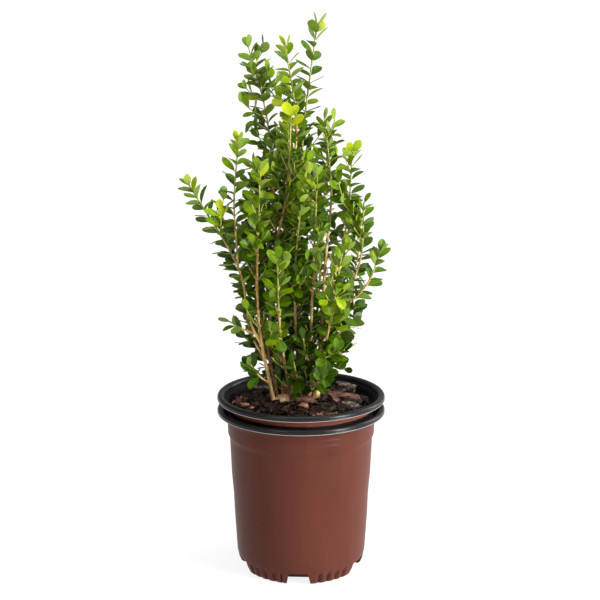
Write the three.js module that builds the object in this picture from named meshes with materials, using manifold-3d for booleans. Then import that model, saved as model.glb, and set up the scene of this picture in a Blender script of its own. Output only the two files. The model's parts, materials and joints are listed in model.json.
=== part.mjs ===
// Potted boxwood: a many-stemmed evergreen shrub in two nested nursery pots.
// Millimetres, +Z up, origin at the centre of the outer pot's flat underside, front towards -Y.
import * as THREE from "three";
import { mergeVertices } from "three/addons/utils/BufferGeometryUtils.js";
import Module from "manifold-3d";

const wasm = await Module();
wasm.setup();

// Pots
const POT_HEIGHT = 164;
const RIM_RADIUS = 82.5;
const RIM_DEPTH = 6.4;
const FOOT_RADIUS = 57.6;
const WALL_FOOT = { radius: 64, height: 17 };
const SHOULDER = { radius: 70.5, height: 134 };
const BAND = { radius: 72.2, from: 138, to: 150 };
const WALL = 1.2;
const NEST_LIFT = 13;
const NEST_TRIM = 1.15;
const POT_SIDES = 30;

// Drainage notches under the pot: a narrow one in front and wider ones round the back
const NOTCHES = [
  { turn: -2.4, width: 24 },
  { turn: 67.5, width: 33 },
  { turn: 140, width: 33 },
  { turn: 216, width: 33 },
  { turn: -71.5, width: 33 },
];
const NOTCH = { slope: 2.2, height: 11.4, depth: 19 };
const DRAIN = { width: 9, height: 4 };

// Potting mix and its bark chips
const SOIL_TOP = 168;
const SOIL_FLAT_RADIUS = 30;
const CHIPS = 18;
const CHIPS_FROM = 36;
const CHIPS_TO = 55;
const CHIP = { length: 18, width: 9, thickness: 8, sunk: 1.6 };
const BIG_CHIP = { at: [39, 6], size: [31, 12, 10], turn: -8 };

// Gaps between neighbouring solids
const SEAT_GAP = 0.32;
const FOLIAGE_GAP = 0.35;

// Stems and twigs
const TIP_RADIUS = 0.85;
const FLARE = { radius: 1.5, reach: 6 };
const STEM_SIDES = 6;
const LIMB_STEP = 26;
const TWIG_SIDES = 3;
const TWIG = { length: 34, radius: 1, angle: 42, everyNodes: 3, spread: 0.3, arch: 2.5 };
const CLEARANCE_STEP = 16;

// Leaves stand in opposite pairs, each pair a quarter turn from the last
const LEAF = { length: 21, width: 12.4, thickness: 1.2, widest: 0.56, sunk: 0.3 };
const NODE_SPACING = 16;
const FIRST_NODE = 0.62;
const LEAF_ANGLE = 52;
const TIP_LEAF_ANGLE = 24;
const LEAF_TURNS = [0, 26, -26];

// Every stem rises from the root crown or soil through its bends to its tip.
// A stem with a parent forks from it at the height "at"; leaves begin at the height "bare".
const STEMS = [
  { name: "left_front", foot: [-26, -4], bends: [[-41, -14, 256]],
    tip: [-38, -38, 401], bare: 254, girth: 4.8 },
  { name: "far_left", parent: "left_front", at: 226, bends: [[-49, -15, 252], [-59, -17, 303]],
    tip: [-105, -20, 385], bare: 258, girth: 3.4,
    forks: [{ at: 305, bends: [[-63, -21, 370]], tip: [-58, -26, 426] }] },
  { name: "left_middle", foot: [-22, 3], bends: [[-44, -3, 290]],
    tip: [-50, -4, 366], bare: 240, girth: 3.6 },
  { name: "brown", foot: [-13, 5], bends: [[-32, -3, 274], [-14, -12, 375]],
    tip: [-9, -22, 450], bare: 270, girth: 6,
    forks: [{ at: 378, bends: [[-4, -8, 432]], tip: [-14, -14, 512] }] },
  { name: "tallest", foot: [-3, 9], bends: [[1, 11, 415]], tip: [15, 14, 532], bare: 262, girth: 5 },
  { name: "upper_left", foot: [-17, 11], bends: [[-26, 14, 366], [-33, 18, 446]],
    tip: [-50, 22, 511], bare: 262, girth: 4.6,
    forks: [{ at: 432, bends: [[-44, 16, 440]], tip: [-48, 14, 439] }] },
  { name: "pale_right", foot: [16, 11], bends: [[24, 8, 310], [29, 7, 375]],
    tip: [22, 4, 444], bare: 284, girth: 6 },
  { name: "upper_right", parent: "pale_right", at: 264, bends: [[43, 6, 338]],
    tip: [49, 2, 414], bare: 284, girth: 3.4 },
  { name: "right_arch", foot: [4, 3], bends: [[26, -4, 244], [56, -1, 305]],
    tip: [60, -2, 366], bare: 262, girth: 4.6 },
  { name: "far_right", parent: "right_arch", at: 254, bends: [[63, -6, 286]],
    tip: [76, -9, 320], bare: 268, girth: 3 },
  { name: "front_right", foot: [7, -6], bends: [[12, -17, 310]],
    tip: [15, -34, 396], bare: 232, girth: 4.2 },
  { name: "front_middle", foot: [-1, -3], bends: [[-6, -16, 295]],
    tip: [0, -33, 370], bare: 226, girth: 4.2 },
  { name: "low_front_left", foot: [-9, -5], bends: [[-20, -34, 250]],
    tip: [-22, -58, 322], bare: 212, girth: 3.8 },
  { name: "low_front_right", foot: [10, 2], bends: [[27, -32, 252]],
    tip: [38, -52, 326], bare: 216, girth: 3.8 },
  { name: "back_left", foot: [-12, 17], bends: [[-36, 38, 290]],
    tip: [-42, 52, 386], bare: 238, girth: 4.4 },
  { name: "back_far_left", parent: "back_left", at: 226, bends: [[-56, 36, 276]],
    tip: [-72, 42, 332], bare: 246, girth: 3 },
  { name: "back_middle", foot: [-2, 19], bends: [[-8, 46, 290]],
    tip: [-14, 64, 396], bare: 236, girth: 4.4 },
  { name: "back_tall", foot: [-8, 13], bends: [[-8, 30, 330]], tip: [-4, 36, 466], bare: 270, girth: 4.4 },
  { name: "back_right", foot: [9, 17], bends: [[20, 42, 300]], tip: [26, 52, 414], bare: 240, girth: 4.4 },
  { name: "back_far_right", parent: "back_right", at: 226, bends: [[45, 36, 268]],
    tip: [61, 42, 326], bare: 244, girth: 3 },
];

// Short leafy side shoots low on the stems, each by its reach sideways, its rise and its bearing
const LOW_SHOOTS = [
  { name: "low_left", parent: "far_left", at: 240, bearing: 197, reach: 26, rise: 14 },
  { name: "low_right", parent: "pale_right", at: 196, bearing: -38, reach: 38, rise: 30 },
  { name: "bare_sprig", parent: "pale_right", at: 204, bearing: -8, reach: 37, rise: 22, bare: true },
  { name: "low_front", parent: "front_middle", at: 190, bearing: 262, reach: 34, rise: 28 },
  { name: "low_front_side", parent: "front_right", at: 186, bearing: -62, reach: 36, rise: 20 },
  { name: "low_left_front", parent: "left_front", at: 188, bearing: 232, reach: 30, rise: 26 },
  { name: "low_left_back", parent: "upper_left", at: 200, bearing: 158, reach: 40, rise: 26 },
  { name: "low_back_left", parent: "back_left", at: 192, bearing: 118, reach: 38, rise: 24 },
  { name: "low_back", parent: "back_middle", at: 196, bearing: 84, reach: 36, rise: 26 },
  { name: "low_back_right", parent: "back_right", at: 190, bearing: 52, reach: 40, rise: 24 },
  { name: "low_right_back", parent: "pale_right", at: 222, bearing: 24, reach: 42, rise: 26 },
  { name: "middle_left", parent: "left_front", at: 214, bearing: 150, reach: 20, rise: 34 },
  { name: "middle_front", parent: "front_right", at: 206, bearing: -104, reach: 26, rise: 34 },
  { name: "middle_right", parent: "pale_right", at: 236, bearing: -20, reach: 34, rise: 30 },
  { name: "middle_back", parent: "tallest", at: 226, bearing: 96, reach: 22, rise: 34 },
];
const LOW_SHOOT_GIRTH = 2.4;

// Finishes
const BROWN_PLASTIC = new THREE.MeshStandardMaterial({ color: 0x70402f, roughness: 0.42, metalness: 0 });
const DARK_MIX = new THREE.MeshStandardMaterial({ color: 0x2a1712, roughness: 0.95, metalness: 0 });
const PALE_BARK = new THREE.MeshStandardMaterial({ color: 0xb49362, roughness: 0.85, metalness: 0 });
const BROWN_BARK = new THREE.MeshStandardMaterial({ color: 0x7d5540, roughness: 0.85, metalness: 0 });
const GREEN_LEAF = new THREE.MeshStandardMaterial({ color: 0x3f6d1d, roughness: 0.45, metalness: 0 });

// A repeatable stream of numbers from 0 to 1
function seeded(seed) {
  let state = seed;
  return () => {
    state = (Math.imul(state, 1664525) + 1013904223) >>> 0;
    return state / 4294967296;
  };
}

// A closed geometry becomes a solid that can be joined and cut
function toSolid(geometry) {
  const bare = new THREE.BufferGeometry();
  bare.setAttribute("position", geometry.attributes.position);
  if (geometry.index) bare.setIndex(geometry.index);
  const merged = mergeVertices(bare, 1e-4);
  const corners = merged.index.array;
  const triangles = [];
  for (let i = 0; i < corners.length; i += 3) {
    const [a, b, c] = [corners[i], corners[i + 1], corners[i + 2]];
    if (a !== b && b !== c && c !== a) triangles.push(a, b, c);
  }
  const vertProperties = new Float32Array(merged.attributes.position.array);
  const triVerts = new Uint32Array(triangles);
  return new wasm.Manifold(new wasm.Mesh({ numProp: 3, vertProperties, triVerts }));
}

function toMesh(name, solid, material) {
  const { vertProperties, triVerts } = solid.getMesh();
  const geometry = new THREE.BufferGeometry();
  geometry.setAttribute("position", new THREE.BufferAttribute(vertProperties, 3));
  geometry.setIndex(new THREE.BufferAttribute(triVerts, 1));
  geometry.computeVertexNormals();
  const mesh = new THREE.Mesh(geometry, material);
  mesh.name = name;
  return mesh;
}

const joined = (solids) => solids.reduce((whole, solid) => whole.add(solid));
const degrees = THREE.MathUtils.degToRad;

// A cut can leave a loose scrap, which is dropped
function largest(solid) {
  return solid.decompose().reduce((best, piece) => (piece.volume() > best.volume() ? piece : best));
}

// Turned shapes have their axis on Z
function turned(profile, sides = POT_SIDES) {
  const points = profile.map(([radius, height]) => new THREE.Vector2(radius, height));
  return toSolid(new THREE.LatheGeometry(points, sides).rotateX(Math.PI / 2));
}

// The pot's outer face from the middle of its underside up to the crest of its rolled rim
function potOutside(lift, trim) {
  const rimFoot = POT_HEIGHT - RIM_DEPTH;
  return [
    [0, lift],
    [FOOT_RADIUS - trim, lift],
    [FOOT_RADIUS - trim + 2.6, lift + 2.4],
    [WALL_FOOT.radius - trim - 1.6, lift + 8],
    [WALL_FOOT.radius - trim, lift + WALL_FOOT.height],
    [SHOULDER.radius - trim, lift + SHOULDER.height],
    [BAND.radius - trim, lift + BAND.from],
    [BAND.radius - trim + 0.4, lift + BAND.to],
    [BAND.radius - trim + 2.6, lift + rimFoot - 0.6],
    [RIM_RADIUS - 2.6, lift + rimFoot],
    [RIM_RADIUS, lift + rimFoot + 2.4],
    [RIM_RADIUS - 0.4, lift + POT_HEIGHT - 1.6],
    [RIM_RADIUS - 2.2, lift + POT_HEIGHT],
  ];
}

// The inner face from the rim down to the floor, a wall's thickness inside the outer one
function potInside(lift, trim, gap = 0) {
  const inset = trim + WALL + gap;
  return [
    [RIM_RADIUS - 3.6 - gap, lift + POT_HEIGHT - 0.6],
    [BAND.radius - inset + 3.6, lift + POT_HEIGHT - RIM_DEPTH + 0.8],
    [BAND.radius - inset + 0.4, lift + BAND.to],
    [BAND.radius - inset, lift + BAND.from + 0.5],
    [SHOULDER.radius - inset, lift + SHOULDER.height + 0.5],
    [WALL_FOOT.radius - inset, lift + WALL_FOOT.height],
    [WALL_FOOT.radius - inset - 2.2, lift + WALL + 5],
    [FOOT_RADIUS - inset, lift + WALL],
  ];
}

// One drainage notch reaches in under the pot from its side
function notchBlock({ turn, width }, lift, grow = 0) {
  const half = width / 2 + grow;
  const halfTop = half - NOTCH.slope;
  const top = NOTCH.height + grow;
  const outline = new THREE.Shape([
    new THREE.Vector2(-half, -2),
    new THREE.Vector2(half, -2),
    new THREE.Vector2(halfTop, top),
    new THREE.Vector2(-halfTop, top),
  ]);
  const depth = NOTCH.depth + 12 + grow;
  const block = new THREE.ExtrudeGeometry(outline, { depth, bevelEnabled: false });
  block.rotateX(Math.PI / 2).translate(0, -(FOOT_RADIUS + 2 - NOTCH.depth - grow), lift);
  return toSolid(block.rotateZ(degrees(turn)));
}

// A slot in the back wall of each notch lets the water out
function drainSlot({ turn }, lift) {
  const slot = new THREE.BoxGeometry(DRAIN.width, 12, DRAIN.height);
  slot.translate(0, -(FOOT_RADIUS + 2 - NOTCH.depth), lift + NOTCH.height / 2);
  return toSolid(slot.rotateZ(degrees(turn)));
}

function pot(lift, trim) {
  const inside = potInside(lift, trim);
  const crest = potOutside(lift, trim);
  const full = turned([...crest, inside[0], [0, inside[0][1]]]);
  const lid = [[0, lift + POT_HEIGHT + 2], [RIM_RADIUS - 3.6, lift + POT_HEIGHT + 2]];
  let hollow = turned([[0, lift + WALL], ...[...inside].reverse(), ...[...lid].reverse()]);
  const cuts = [];
  for (const notch of NOTCHES) {
    hollow = hollow.subtract(notchBlock(notch, lift, WALL));
    cuts.push(notchBlock(notch, lift), drainSlot(notch, lift));
  }
  return cuts.reduce((body, cut) => body.subtract(cut), full.subtract(hollow));
}

// Stems as curves
const vector = (point) => new THREE.Vector3(...point);

function stemCurve(row, curves) {
  const foot = row.parent ? pointAtHeight(curves[row.parent], row.at) : vector([...row.foot, SOIL_TOP - 3]);
  return new THREE.CatmullRomCurve3([foot, ...row.bends.map(vector), vector(row.tip)], false, "centripetal");
}

function fractionAtHeight(curve, height) {
  let low = 0;
  let high = 1;
  for (let i = 0; i < 24; i++) {
    const middle = (low + high) / 2;
    if (curve.getPointAt(middle).z < height) low = middle;
    else high = middle;
  }
  return low;
}

function pointAtHeight(curve, height) {
  return curve.getPointAt(fractionAtHeight(curve, height));
}

// A direction square to the curve that doesn't spin as it climbs
function frameAt(curve, fraction) {
  const tangent = curve.getTangentAt(fraction);
  const whole = curve.getPointAt(1).sub(curve.getPointAt(0)).normalize();
  const reference = new THREE.Vector3().setComponent(Math.abs(whole.x) < Math.abs(whole.y) ? 0 : 1, 1);
  const side = reference.addScaledVector(tangent, -reference.dot(tangent)).normalize();
  return { point: curve.getPointAt(fraction), tangent, side, across: side.clone().cross(tangent) };
}

// A limb is built of a few straight pieces; short ones have at least two
function limbSteps(curve, from, to) {
  const length = curve.getLength() * (to - from);
  return length < 6 ? 1 : Math.max(2, Math.round(length / LIMB_STEP));
}

// A cylinder bent along a curve, its radius given at every fraction of the curve
function limb(curve, from, to, radiusAt, sides, turn = 0) {
  const steps = limbSteps(curve, from, to);
  const geometry = new THREE.CylinderGeometry(1, 1, 1, sides, steps).rotateY(Math.PI / sides - turn);
  const position = geometry.attributes.position;
  for (let i = 0; i < position.count; i++) {
    const fraction = from + (to - from) * (position.getY(i) + 0.5);
    const { point, side, across } = frameAt(curve, fraction);
    const radius = radiusAt(fraction);
    point.addScaledVector(side, position.getX(i) * radius);
    point.addScaledVector(across, position.getZ(i) * radius);
    position.setXYZ(i, point.x, point.y, point.z);
  }
  return toSolid(geometry);
}

// A stem thins from its foot to its tip and spreads where it leaves the ground
function stemRadius(row, curve) {
  const length = curve.getLength();
  const base = row.girth / 2;
  const spread = row.parent ? 0 : FLARE.radius;
  return (fraction) =>
    base + (TIP_RADIUS - base) * fraction ** 0.85 + spread * Math.exp((-fraction * length) / FLARE.reach);
}

// Low burl that most of the stems rise from, cut flat at the ground
const CROWN_LUMPS = [
  { at: [-4, 9], size: [15, 11, 8.5] },
  { at: [-13, 4], size: [9, 8, 6.5] },
  { at: [4, 0], size: [9, 8, 6] },
];

function ground(height) {
  const block = new THREE.BoxGeometry(200, 200, 40);
  return toSolid(block.translate(0, 0, height - 20));
}

function rootCrown(grow = 0) {
  const lumps = CROWN_LUMPS.map(({ at, size }, i) => {
    const lump = new THREE.IcosahedronGeometry(1, 1).rotateZ(i * 1.3);
    lump.scale(size[0] + grow, size[1] + grow, size[2] + grow);
    return toSolid(lump.translate(at[0], at[1], SOIL_TOP));
  });
  return joined(lumps).subtract(ground(SOIL_TOP + SEAT_GAP - grow));
}

// Bark chip: a slab with its corners knocked about
function chip(random, length, width, thickness) {
  const geometry = new THREE.BoxGeometry(length, width, thickness);
  const position = geometry.attributes.position;
  for (let i = 0; i < position.count; i++) {
    const corner = new THREE.Vector3().fromBufferAttribute(position, i);
    const taper = corner.x * corner.y > 0 ? 0.82 : 0.6 + 0.3 * Math.sign(corner.z);
    position.setXYZ(i, corner.x * (corner.y > 0 ? 1 : 0.8), corner.y * taper, corner.z);
  }
  return geometry.rotateX(degrees(24 * (random() - 0.5))).rotateY(degrees(20 * (random() - 0.5)));
}

function pottingMix(lift, trim) {
  const random = seeded(41);
  const side = potInside(lift, trim, SEAT_GAP).slice(1).reverse();
  const floor = lift + NOTCH.height + WALL + SEAT_GAP;
  const wall = side.filter(([, height]) => height > floor && height < SOIL_TOP - 4);
  const edge = BAND.radius - trim - WALL - SEAT_GAP + 1.2;
  const top = [[edge, SOIL_TOP - 2.4], [SOIL_FLAT_RADIUS, SOIL_TOP], [0, SOIL_TOP]];
  let mix = turned([[0, floor], [side[2][0] - 1.4, floor], ...wall, ...top]);
  for (let i = 0; i < CHIPS; i++) {
    const radius = CHIPS_FROM + (CHIPS_TO - CHIPS_FROM) * Math.sqrt((i + 0.5) / CHIPS);
    const bearing = i * 2.4;
    const scale = 0.7 + 0.6 * random();
    const slab = chip(random, CHIP.length * scale, CHIP.width * scale, CHIP.thickness);
    slab.rotateZ(random() * Math.PI);
    slab.translate(radius * Math.cos(bearing), radius * Math.sin(bearing), SOIL_TOP - CHIP.sunk);
    mix = mix.add(toSolid(slab));
  }
  const bigChip = chip(random, ...BIG_CHIP.size).rotateZ(degrees(BIG_CHIP.turn));
  return mix.add(toSolid(bigChip.translate(...BIG_CHIP.at, SOIL_TOP - CHIP.sunk)));
}

// Convex bodies for finding what would touch: points, face normals and edge directions
function convexBody(points, normals, edges) {
  const centre = new THREE.Box3().setFromPoints(points).getCenter(new THREE.Vector3());
  const reach = Math.max(...points.map((point) => point.distanceTo(centre)));
  return { points, normals, edges, centre, reach };
}

function leafPoints({ base, along, across, face, scale }) {
  const place = (forward, sideways, out) =>
    base
      .clone()
      .addScaledVector(along, forward * LEAF.length * scale)
      .addScaledVector(across, (sideways * LEAF.width * scale) / 2)
      .addScaledVector(face, out * LEAF.thickness);
  const middle = LEAF.widest;
  return [place(0, 0, 0), place(1, 0, 0), place(middle, 1, 0), place(middle, -1, 0), place(middle, 0, 1)];
}

// A leaf is a low roof over a flat underside: foot, tip, two sides and the crown of its midrib
const LEAF_FACES = [[0, 2, 4], [0, 4, 3], [1, 4, 2], [1, 3, 4], [0, 3, 2], [1, 2, 3]];

function leafBody(leaf) {
  const points = leafPoints(leaf);
  const edges = [];
  const normals = LEAF_FACES.map(([a, b, c]) => {
    const first = points[b].clone().sub(points[a]);
    const second = points[c].clone().sub(points[a]);
    edges.push(first, second);
    return first.clone().cross(second).normalize();
  });
  return { ...convexBody(points, normals, edges), node: leaf.node };
}

function leafSolid(leaf) {
  const geometry = new THREE.BufferGeometry().setFromPoints(leafPoints(leaf));
  geometry.setIndex(LEAF_FACES.flat());
  return toSolid(geometry);
}

// Square block round a short piece of limb
function limbBody(frame, next, radius, owner) {
  const points = [];
  for (const { point, side, across } of [frame, next])
    for (const [s, a] of [[1, 1], [1, -1], [-1, 1], [-1, -1]])
      points.push(point.clone().addScaledVector(side, s * radius).addScaledVector(across, a * radius));
  const axes = [frame.side, frame.across, frame.tangent];
  return { ...convexBody(points, axes, axes), owner, ends: new THREE.Line3(frame.point, next.point) };
}

function apart(a, b, gap) {
  if (a.centre.distanceTo(b.centre) > a.reach + b.reach + gap) return true;
  const axes = [...a.normals, ...b.normals];
  for (const edge of a.edges) for (const other of b.edges) axes.push(edge.clone().cross(other));
  for (const axis of axes) {
    const length = axis.length();
    if (length < 1e-6) continue;
    const spanA = a.points.map((point) => point.dot(axis) / length);
    const spanB = b.points.map((point) => point.dot(axis) / length);
    if (Math.min(...spanA) - Math.max(...spanB) > gap) return true;
    if (Math.min(...spanB) - Math.max(...spanA) > gap) return true;
  }
  return false;
}

// Everything that foliage keeps clear of
const limbBodies = [];
const leafBodies = [];

function bodiesAlong(curve, from, to, radiusAt, owner) {
  const count = Math.max(1, Math.round((curve.getLength() * (to - from)) / CLEARANCE_STEP));
  const bodies = [];
  for (let i = 0; i < count; i++) {
    const start = from + ((to - from) * i) / count;
    const end = from + ((to - from) * (i + 1)) / count;
    bodies.push(limbBody(frameAt(curve, start), frameAt(curve, end), radiusAt(start), owner));
  }
  return bodies;
}

// A point belongs to the mass whose limb is nearest
function ownSpace(point, mass) {
  const nearest = { distance: Infinity, owner: null };
  for (const { ends, owner } of limbBodies) {
    if (owner.bough) continue;
    const distance = ends.closestPointToPoint(point, true, new THREE.Vector3()).distanceTo(point);
    if (distance < nearest.distance) Object.assign(nearest, { distance, owner });
  }
  return nearest.owner.mass === mass;
}

// The crown's shoots: what carries leaves, each with its curve and its thickness
function addShoot(mass, curve, from, radiusAt, leafy = true) {
  const owner = { mass, shoot: mass.shoots.length };
  limbBodies.push(...bodiesAlong(curve, from, 1, radiusAt, owner));
  mass.shoots.push({ curve, from, radiusAt, owner, leafy, turn: mass.random() * Math.PI });
}

function nodeFractions(shoot) {
  const length = shoot.curve.getLength();
  const usable = length * (1 - shoot.from);
  const count = Math.max(1, Math.round(usable / NODE_SPACING));
  const spacing = (1 - shoot.from) / (count - 0.1);
  return Array.from({ length: count }, (_, i) => shoot.from + spacing * (i + FIRST_NODE));
}

// Side twigs grow from every few nodes of a long shoot where there is room for them
function growTwigs(mass) {
  const { random } = mass;
  const shoots = [...mass.shoots];
  for (const shoot of shoots) {
    const nodes = nodeFractions(shoot);
    for (let i = 1; i < nodes.length - 3; i += TWIG.everyNodes) {
      const { point, tangent, side, across } = frameAt(shoot.curve, nodes[i]);
      const turn = random() * Math.PI * 2;
      const length = TWIG.length * (0.8 + 0.4 * random());
      const outward = side.clone().multiplyScalar(Math.cos(turn)).addScaledVector(across, Math.sin(turn));
      const widens = outward.x * point.x + outward.y * point.y > TWIG.spread * Math.hypot(point.x, point.y);
      if (widens) continue;
      const lean = degrees(TWIG.angle);
      const tip = point.clone().addScaledVector(outward, length * Math.sin(lean));
      tip.addScaledVector(tangent, length * Math.cos(lean) * 0.9);
      const bend = point.clone().lerp(tip, 0.5).addScaledVector(outward, TWIG.arch);
      const curve = new THREE.CatmullRomCurve3([point, bend, tip], false, "centripetal");
      const radiusAt = (fraction) => TWIG.radius + (TIP_RADIUS - TWIG.radius) * fraction;
      const owner = { mass, shoot: mass.shoots.length };
      const bodies = bodiesAlong(curve, 0.12, 1, radiusAt, owner);
      const others = limbBodies.filter((body) => body.owner !== shoot.owner);
      const free = bodies.every((body) => others.every((other) => apart(body, other, FOLIAGE_GAP * 3)));
      if (free && ownSpace(tip, mass)) {
        limbBodies.push(...bodies);
        mass.shoots.push({ curve, from: 0, radiusAt, owner, leafy: true, turn });
      }
    }
  }
}

// The middle of the straight piece of limb that a leaf is rooted in
function spineAt({ curve, from }, fraction) {
  const steps = limbSteps(curve, from, 1);
  const place = ((fraction - from) / (1 - from)) * steps;
  const piece = Math.min(Math.floor(place), steps - 1);
  const [start, end] = [piece, piece + 1].map((ring) => curve.getPointAt(from + ((1 - from) * ring) / steps));
  return start.lerp(end, place - piece);
}

function leafAt(shoot, fraction, turn, angle, scale, node) {
  const { tangent, side, across } = frameAt(shoot.curve, fraction);
  const outward = side.clone().multiplyScalar(Math.cos(turn)).addScaledVector(across, Math.sin(turn));
  const along = tangent.clone().multiplyScalar(Math.cos(angle)).addScaledVector(outward, Math.sin(angle));
  const face = tangent.clone().addScaledVector(along, -tangent.dot(along)).normalize();
  const base = spineAt(shoot, fraction).addScaledVector(along, -LEAF.sunk);
  return { base, along, face, across: along.clone().cross(face), scale, node };
}

function leafFits(body, mass, shoot) {
  if (!ownSpace(body.centre, mass)) return false;
  for (const near of limbBodies) {
    if (near.owner !== shoot.owner && !apart(body, near, FOLIAGE_GAP)) return false;
  }
  return leafBodies.every((other) => other.node === body.node || apart(body, other, FOLIAGE_GAP));
}

// Leaves stand in pairs at the nodes of every shoot; one that finds no room is left out
function growLeaves(mass) {
  const { random } = mass;
  mass.leaves = [];
  for (const shoot of mass.shoots.filter(({ leafy }) => leafy)) {
    const nodes = nodeFractions(shoot);
    nodes.forEach((fraction, i) => {
      const last = i === nodes.length - 1;
      const angle = degrees(last ? TIP_LEAF_ANGLE : LEAF_ANGLE + 10 * (random() - 0.5));
      const scale = (last ? 0.86 : 1) * (0.9 + 0.2 * random());
      const node = `${mass.name} ${shoot.owner.shoot} ${i}`;
      for (const half of [0, Math.PI]) {
        for (const turn of LEAF_TURNS) {
          const bearing = shoot.turn + (i * Math.PI) / 2 + half + degrees(turn);
          const leaf = leafAt(shoot, fraction, bearing, angle, scale, node);
          const body = leafBody(leaf);
          if (!leafFits(body, mass, shoot)) continue;
          leafBodies.push(body);
          mass.leaves.push(leaf);
          break;
        }
      }
    });
  }
}

// Build the crown: stems first, so that every leaf knows what it has to miss
const curves = {};
const boughs = [];
const masses = [];
const crownClear = rootCrown(SEAT_GAP);
const soilClear = ground(SOIL_TOP + SEAT_GAP);

for (const row of STEMS) {
  const curve = stemCurve(row, curves);
  curves[row.name] = curve;
  const radiusAt = stemRadius(row, curve);
  const bareEnd = fractionAtHeight(curve, row.bare);
  const gap = SEAT_GAP / curve.getLength();
  boughs.push({ name: row.name, row, curve, radiusAt, bareEnd });
  limbBodies.push(...bodiesAlong(curve, 0, bareEnd, radiusAt, { bough: row.name }));
  const mass = { name: row.name, shoots: [], random: seeded(101 + masses.length) };
  masses.push(mass);
  addShoot(mass, curve, bareEnd + gap, radiusAt);
  for (const fork of row.forks ?? []) {
    const base = pointAtHeight(curve, fork.at);
    const path = [base, ...fork.bends.map(vector), vector(fork.tip)];
    const forkCurve = new THREE.CatmullRomCurve3(path, false, "centripetal");
    const thick = radiusAt(fractionAtHeight(curve, fork.at)) * 0.9;
    addShoot(mass, forkCurve, 0, (fraction) => thick + (TIP_RADIUS - thick) * fraction);
  }
}

for (const row of LOW_SHOOTS) {
  const foot = pointAtHeight(curves[row.parent], row.at);
  const bearing = degrees(row.bearing);
  const outward = new THREE.Vector3(Math.cos(bearing), Math.sin(bearing), 0);
  const tip = foot.clone().addScaledVector(outward, row.reach).add(vector([0, 0, row.rise]));
  const bend = foot.clone().lerp(tip, 0.5).add(vector([0, 0, -row.rise * 0.12]));
  const curve = new THREE.CatmullRomCurve3([foot, bend, tip], false, "centripetal");
  const base = LOW_SHOOT_GIRTH / 2;
  const mass = { name: row.name, shoots: [], parent: row.parent, random: seeded(101 + masses.length) };
  masses.push(mass);
  addShoot(mass, curve, 0, (fraction) => base + (TIP_RADIUS - base) * fraction, !row.bare);
}

masses.forEach(growTwigs);
masses.forEach(growLeaves);

const plant = new THREE.Group();
plant.add(toMesh("outer_pot", pot(0, 0), BROWN_PLASTIC));
plant.add(toMesh("inner_pot", pot(NEST_LIFT, NEST_TRIM), BROWN_PLASTIC));
plant.add(toMesh("potting_soil", pottingMix(NEST_LIFT, NEST_TRIM), DARK_MIX));
plant.add(toMesh("root_crown", rootCrown(), PALE_BARK));

// A limb's foot is cut clear of the soil, the root crown and the limb that it forks from
function seated(solid, parentName) {
  const cut = solid.subtract(crownClear).subtract(soilClear);
  if (!parentName) return largest(cut);
  const parent = boughs.find(({ name }) => name === parentName);
  const clearance = (fraction) => parent.radiusAt(fraction) + SEAT_GAP;
  return largest(cut.subtract(limb(parent.curve, 0, parent.bareEnd, clearance, STEM_SIDES)));
}

for (const { name, row, curve, radiusAt, bareEnd } of boughs) {
  const solid = seated(limb(curve, 0, bareEnd, radiusAt, STEM_SIDES), row.parent);
  plant.add(toMesh(`stem_${name}`, solid, name === "brown" ? BROWN_BARK : PALE_BARK));
}

for (const mass of masses) {
  const twig = ({ curve, from, radiusAt, turn }) => limb(curve, from, 1, radiusAt, TWIG_SIDES, turn);
  const wood = joined(mass.shoots.map(twig));
  const solid = joined([mass.parent ? seated(wood, mass.parent) : wood, ...mass.leaves.map(leafSolid)]);
  plant.add(toMesh(`foliage_${mass.name}`, solid, GREEN_LEAF));
}

export default plant;
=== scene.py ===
"""Potted boxwood: a many-stemmed evergreen shrub in two nested nursery pots.

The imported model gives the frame, in metres. The sizes below are in millimetres, as on the part's drawing.
"""

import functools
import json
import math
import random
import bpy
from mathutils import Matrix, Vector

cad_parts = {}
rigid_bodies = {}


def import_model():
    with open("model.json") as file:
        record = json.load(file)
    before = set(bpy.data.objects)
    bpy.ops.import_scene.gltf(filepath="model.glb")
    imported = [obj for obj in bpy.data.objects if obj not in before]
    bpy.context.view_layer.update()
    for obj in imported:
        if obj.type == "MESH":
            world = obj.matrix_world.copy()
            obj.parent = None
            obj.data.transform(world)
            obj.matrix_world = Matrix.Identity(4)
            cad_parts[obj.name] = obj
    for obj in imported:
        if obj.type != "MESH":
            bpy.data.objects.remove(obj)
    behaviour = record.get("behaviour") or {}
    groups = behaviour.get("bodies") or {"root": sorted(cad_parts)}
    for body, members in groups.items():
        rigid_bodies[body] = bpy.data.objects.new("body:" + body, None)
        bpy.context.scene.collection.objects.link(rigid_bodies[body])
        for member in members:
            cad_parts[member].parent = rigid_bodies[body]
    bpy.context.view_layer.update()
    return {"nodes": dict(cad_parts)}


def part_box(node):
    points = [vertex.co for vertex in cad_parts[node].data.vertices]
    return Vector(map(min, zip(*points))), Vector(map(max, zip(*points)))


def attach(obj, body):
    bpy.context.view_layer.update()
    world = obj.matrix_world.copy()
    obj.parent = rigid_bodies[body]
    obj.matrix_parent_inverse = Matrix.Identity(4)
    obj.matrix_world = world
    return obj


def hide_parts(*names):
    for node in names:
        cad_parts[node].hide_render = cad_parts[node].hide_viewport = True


bl_info = {
    "name": "Potted boxwood",
    "version": (1, 0, 0),
    "blender": (4, 5, 0),
    "location": "3D View > Sidebar > Boxwood",
    "description": "Builds a many-stemmed boxwood in two nested nursery pots",
    "category": "Add Mesh",
}

from bisect import bisect_right

import bmesh
import bpy
from bpy.props import FloatProperty, FloatVectorProperty, IntProperty, PointerProperty
from mathutils import Euler, Matrix, Vector, noise

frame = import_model()
FOLIAGE = [name for name in frame["nodes"] if name.startswith("foliage_")]

MM = 0.001

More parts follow.
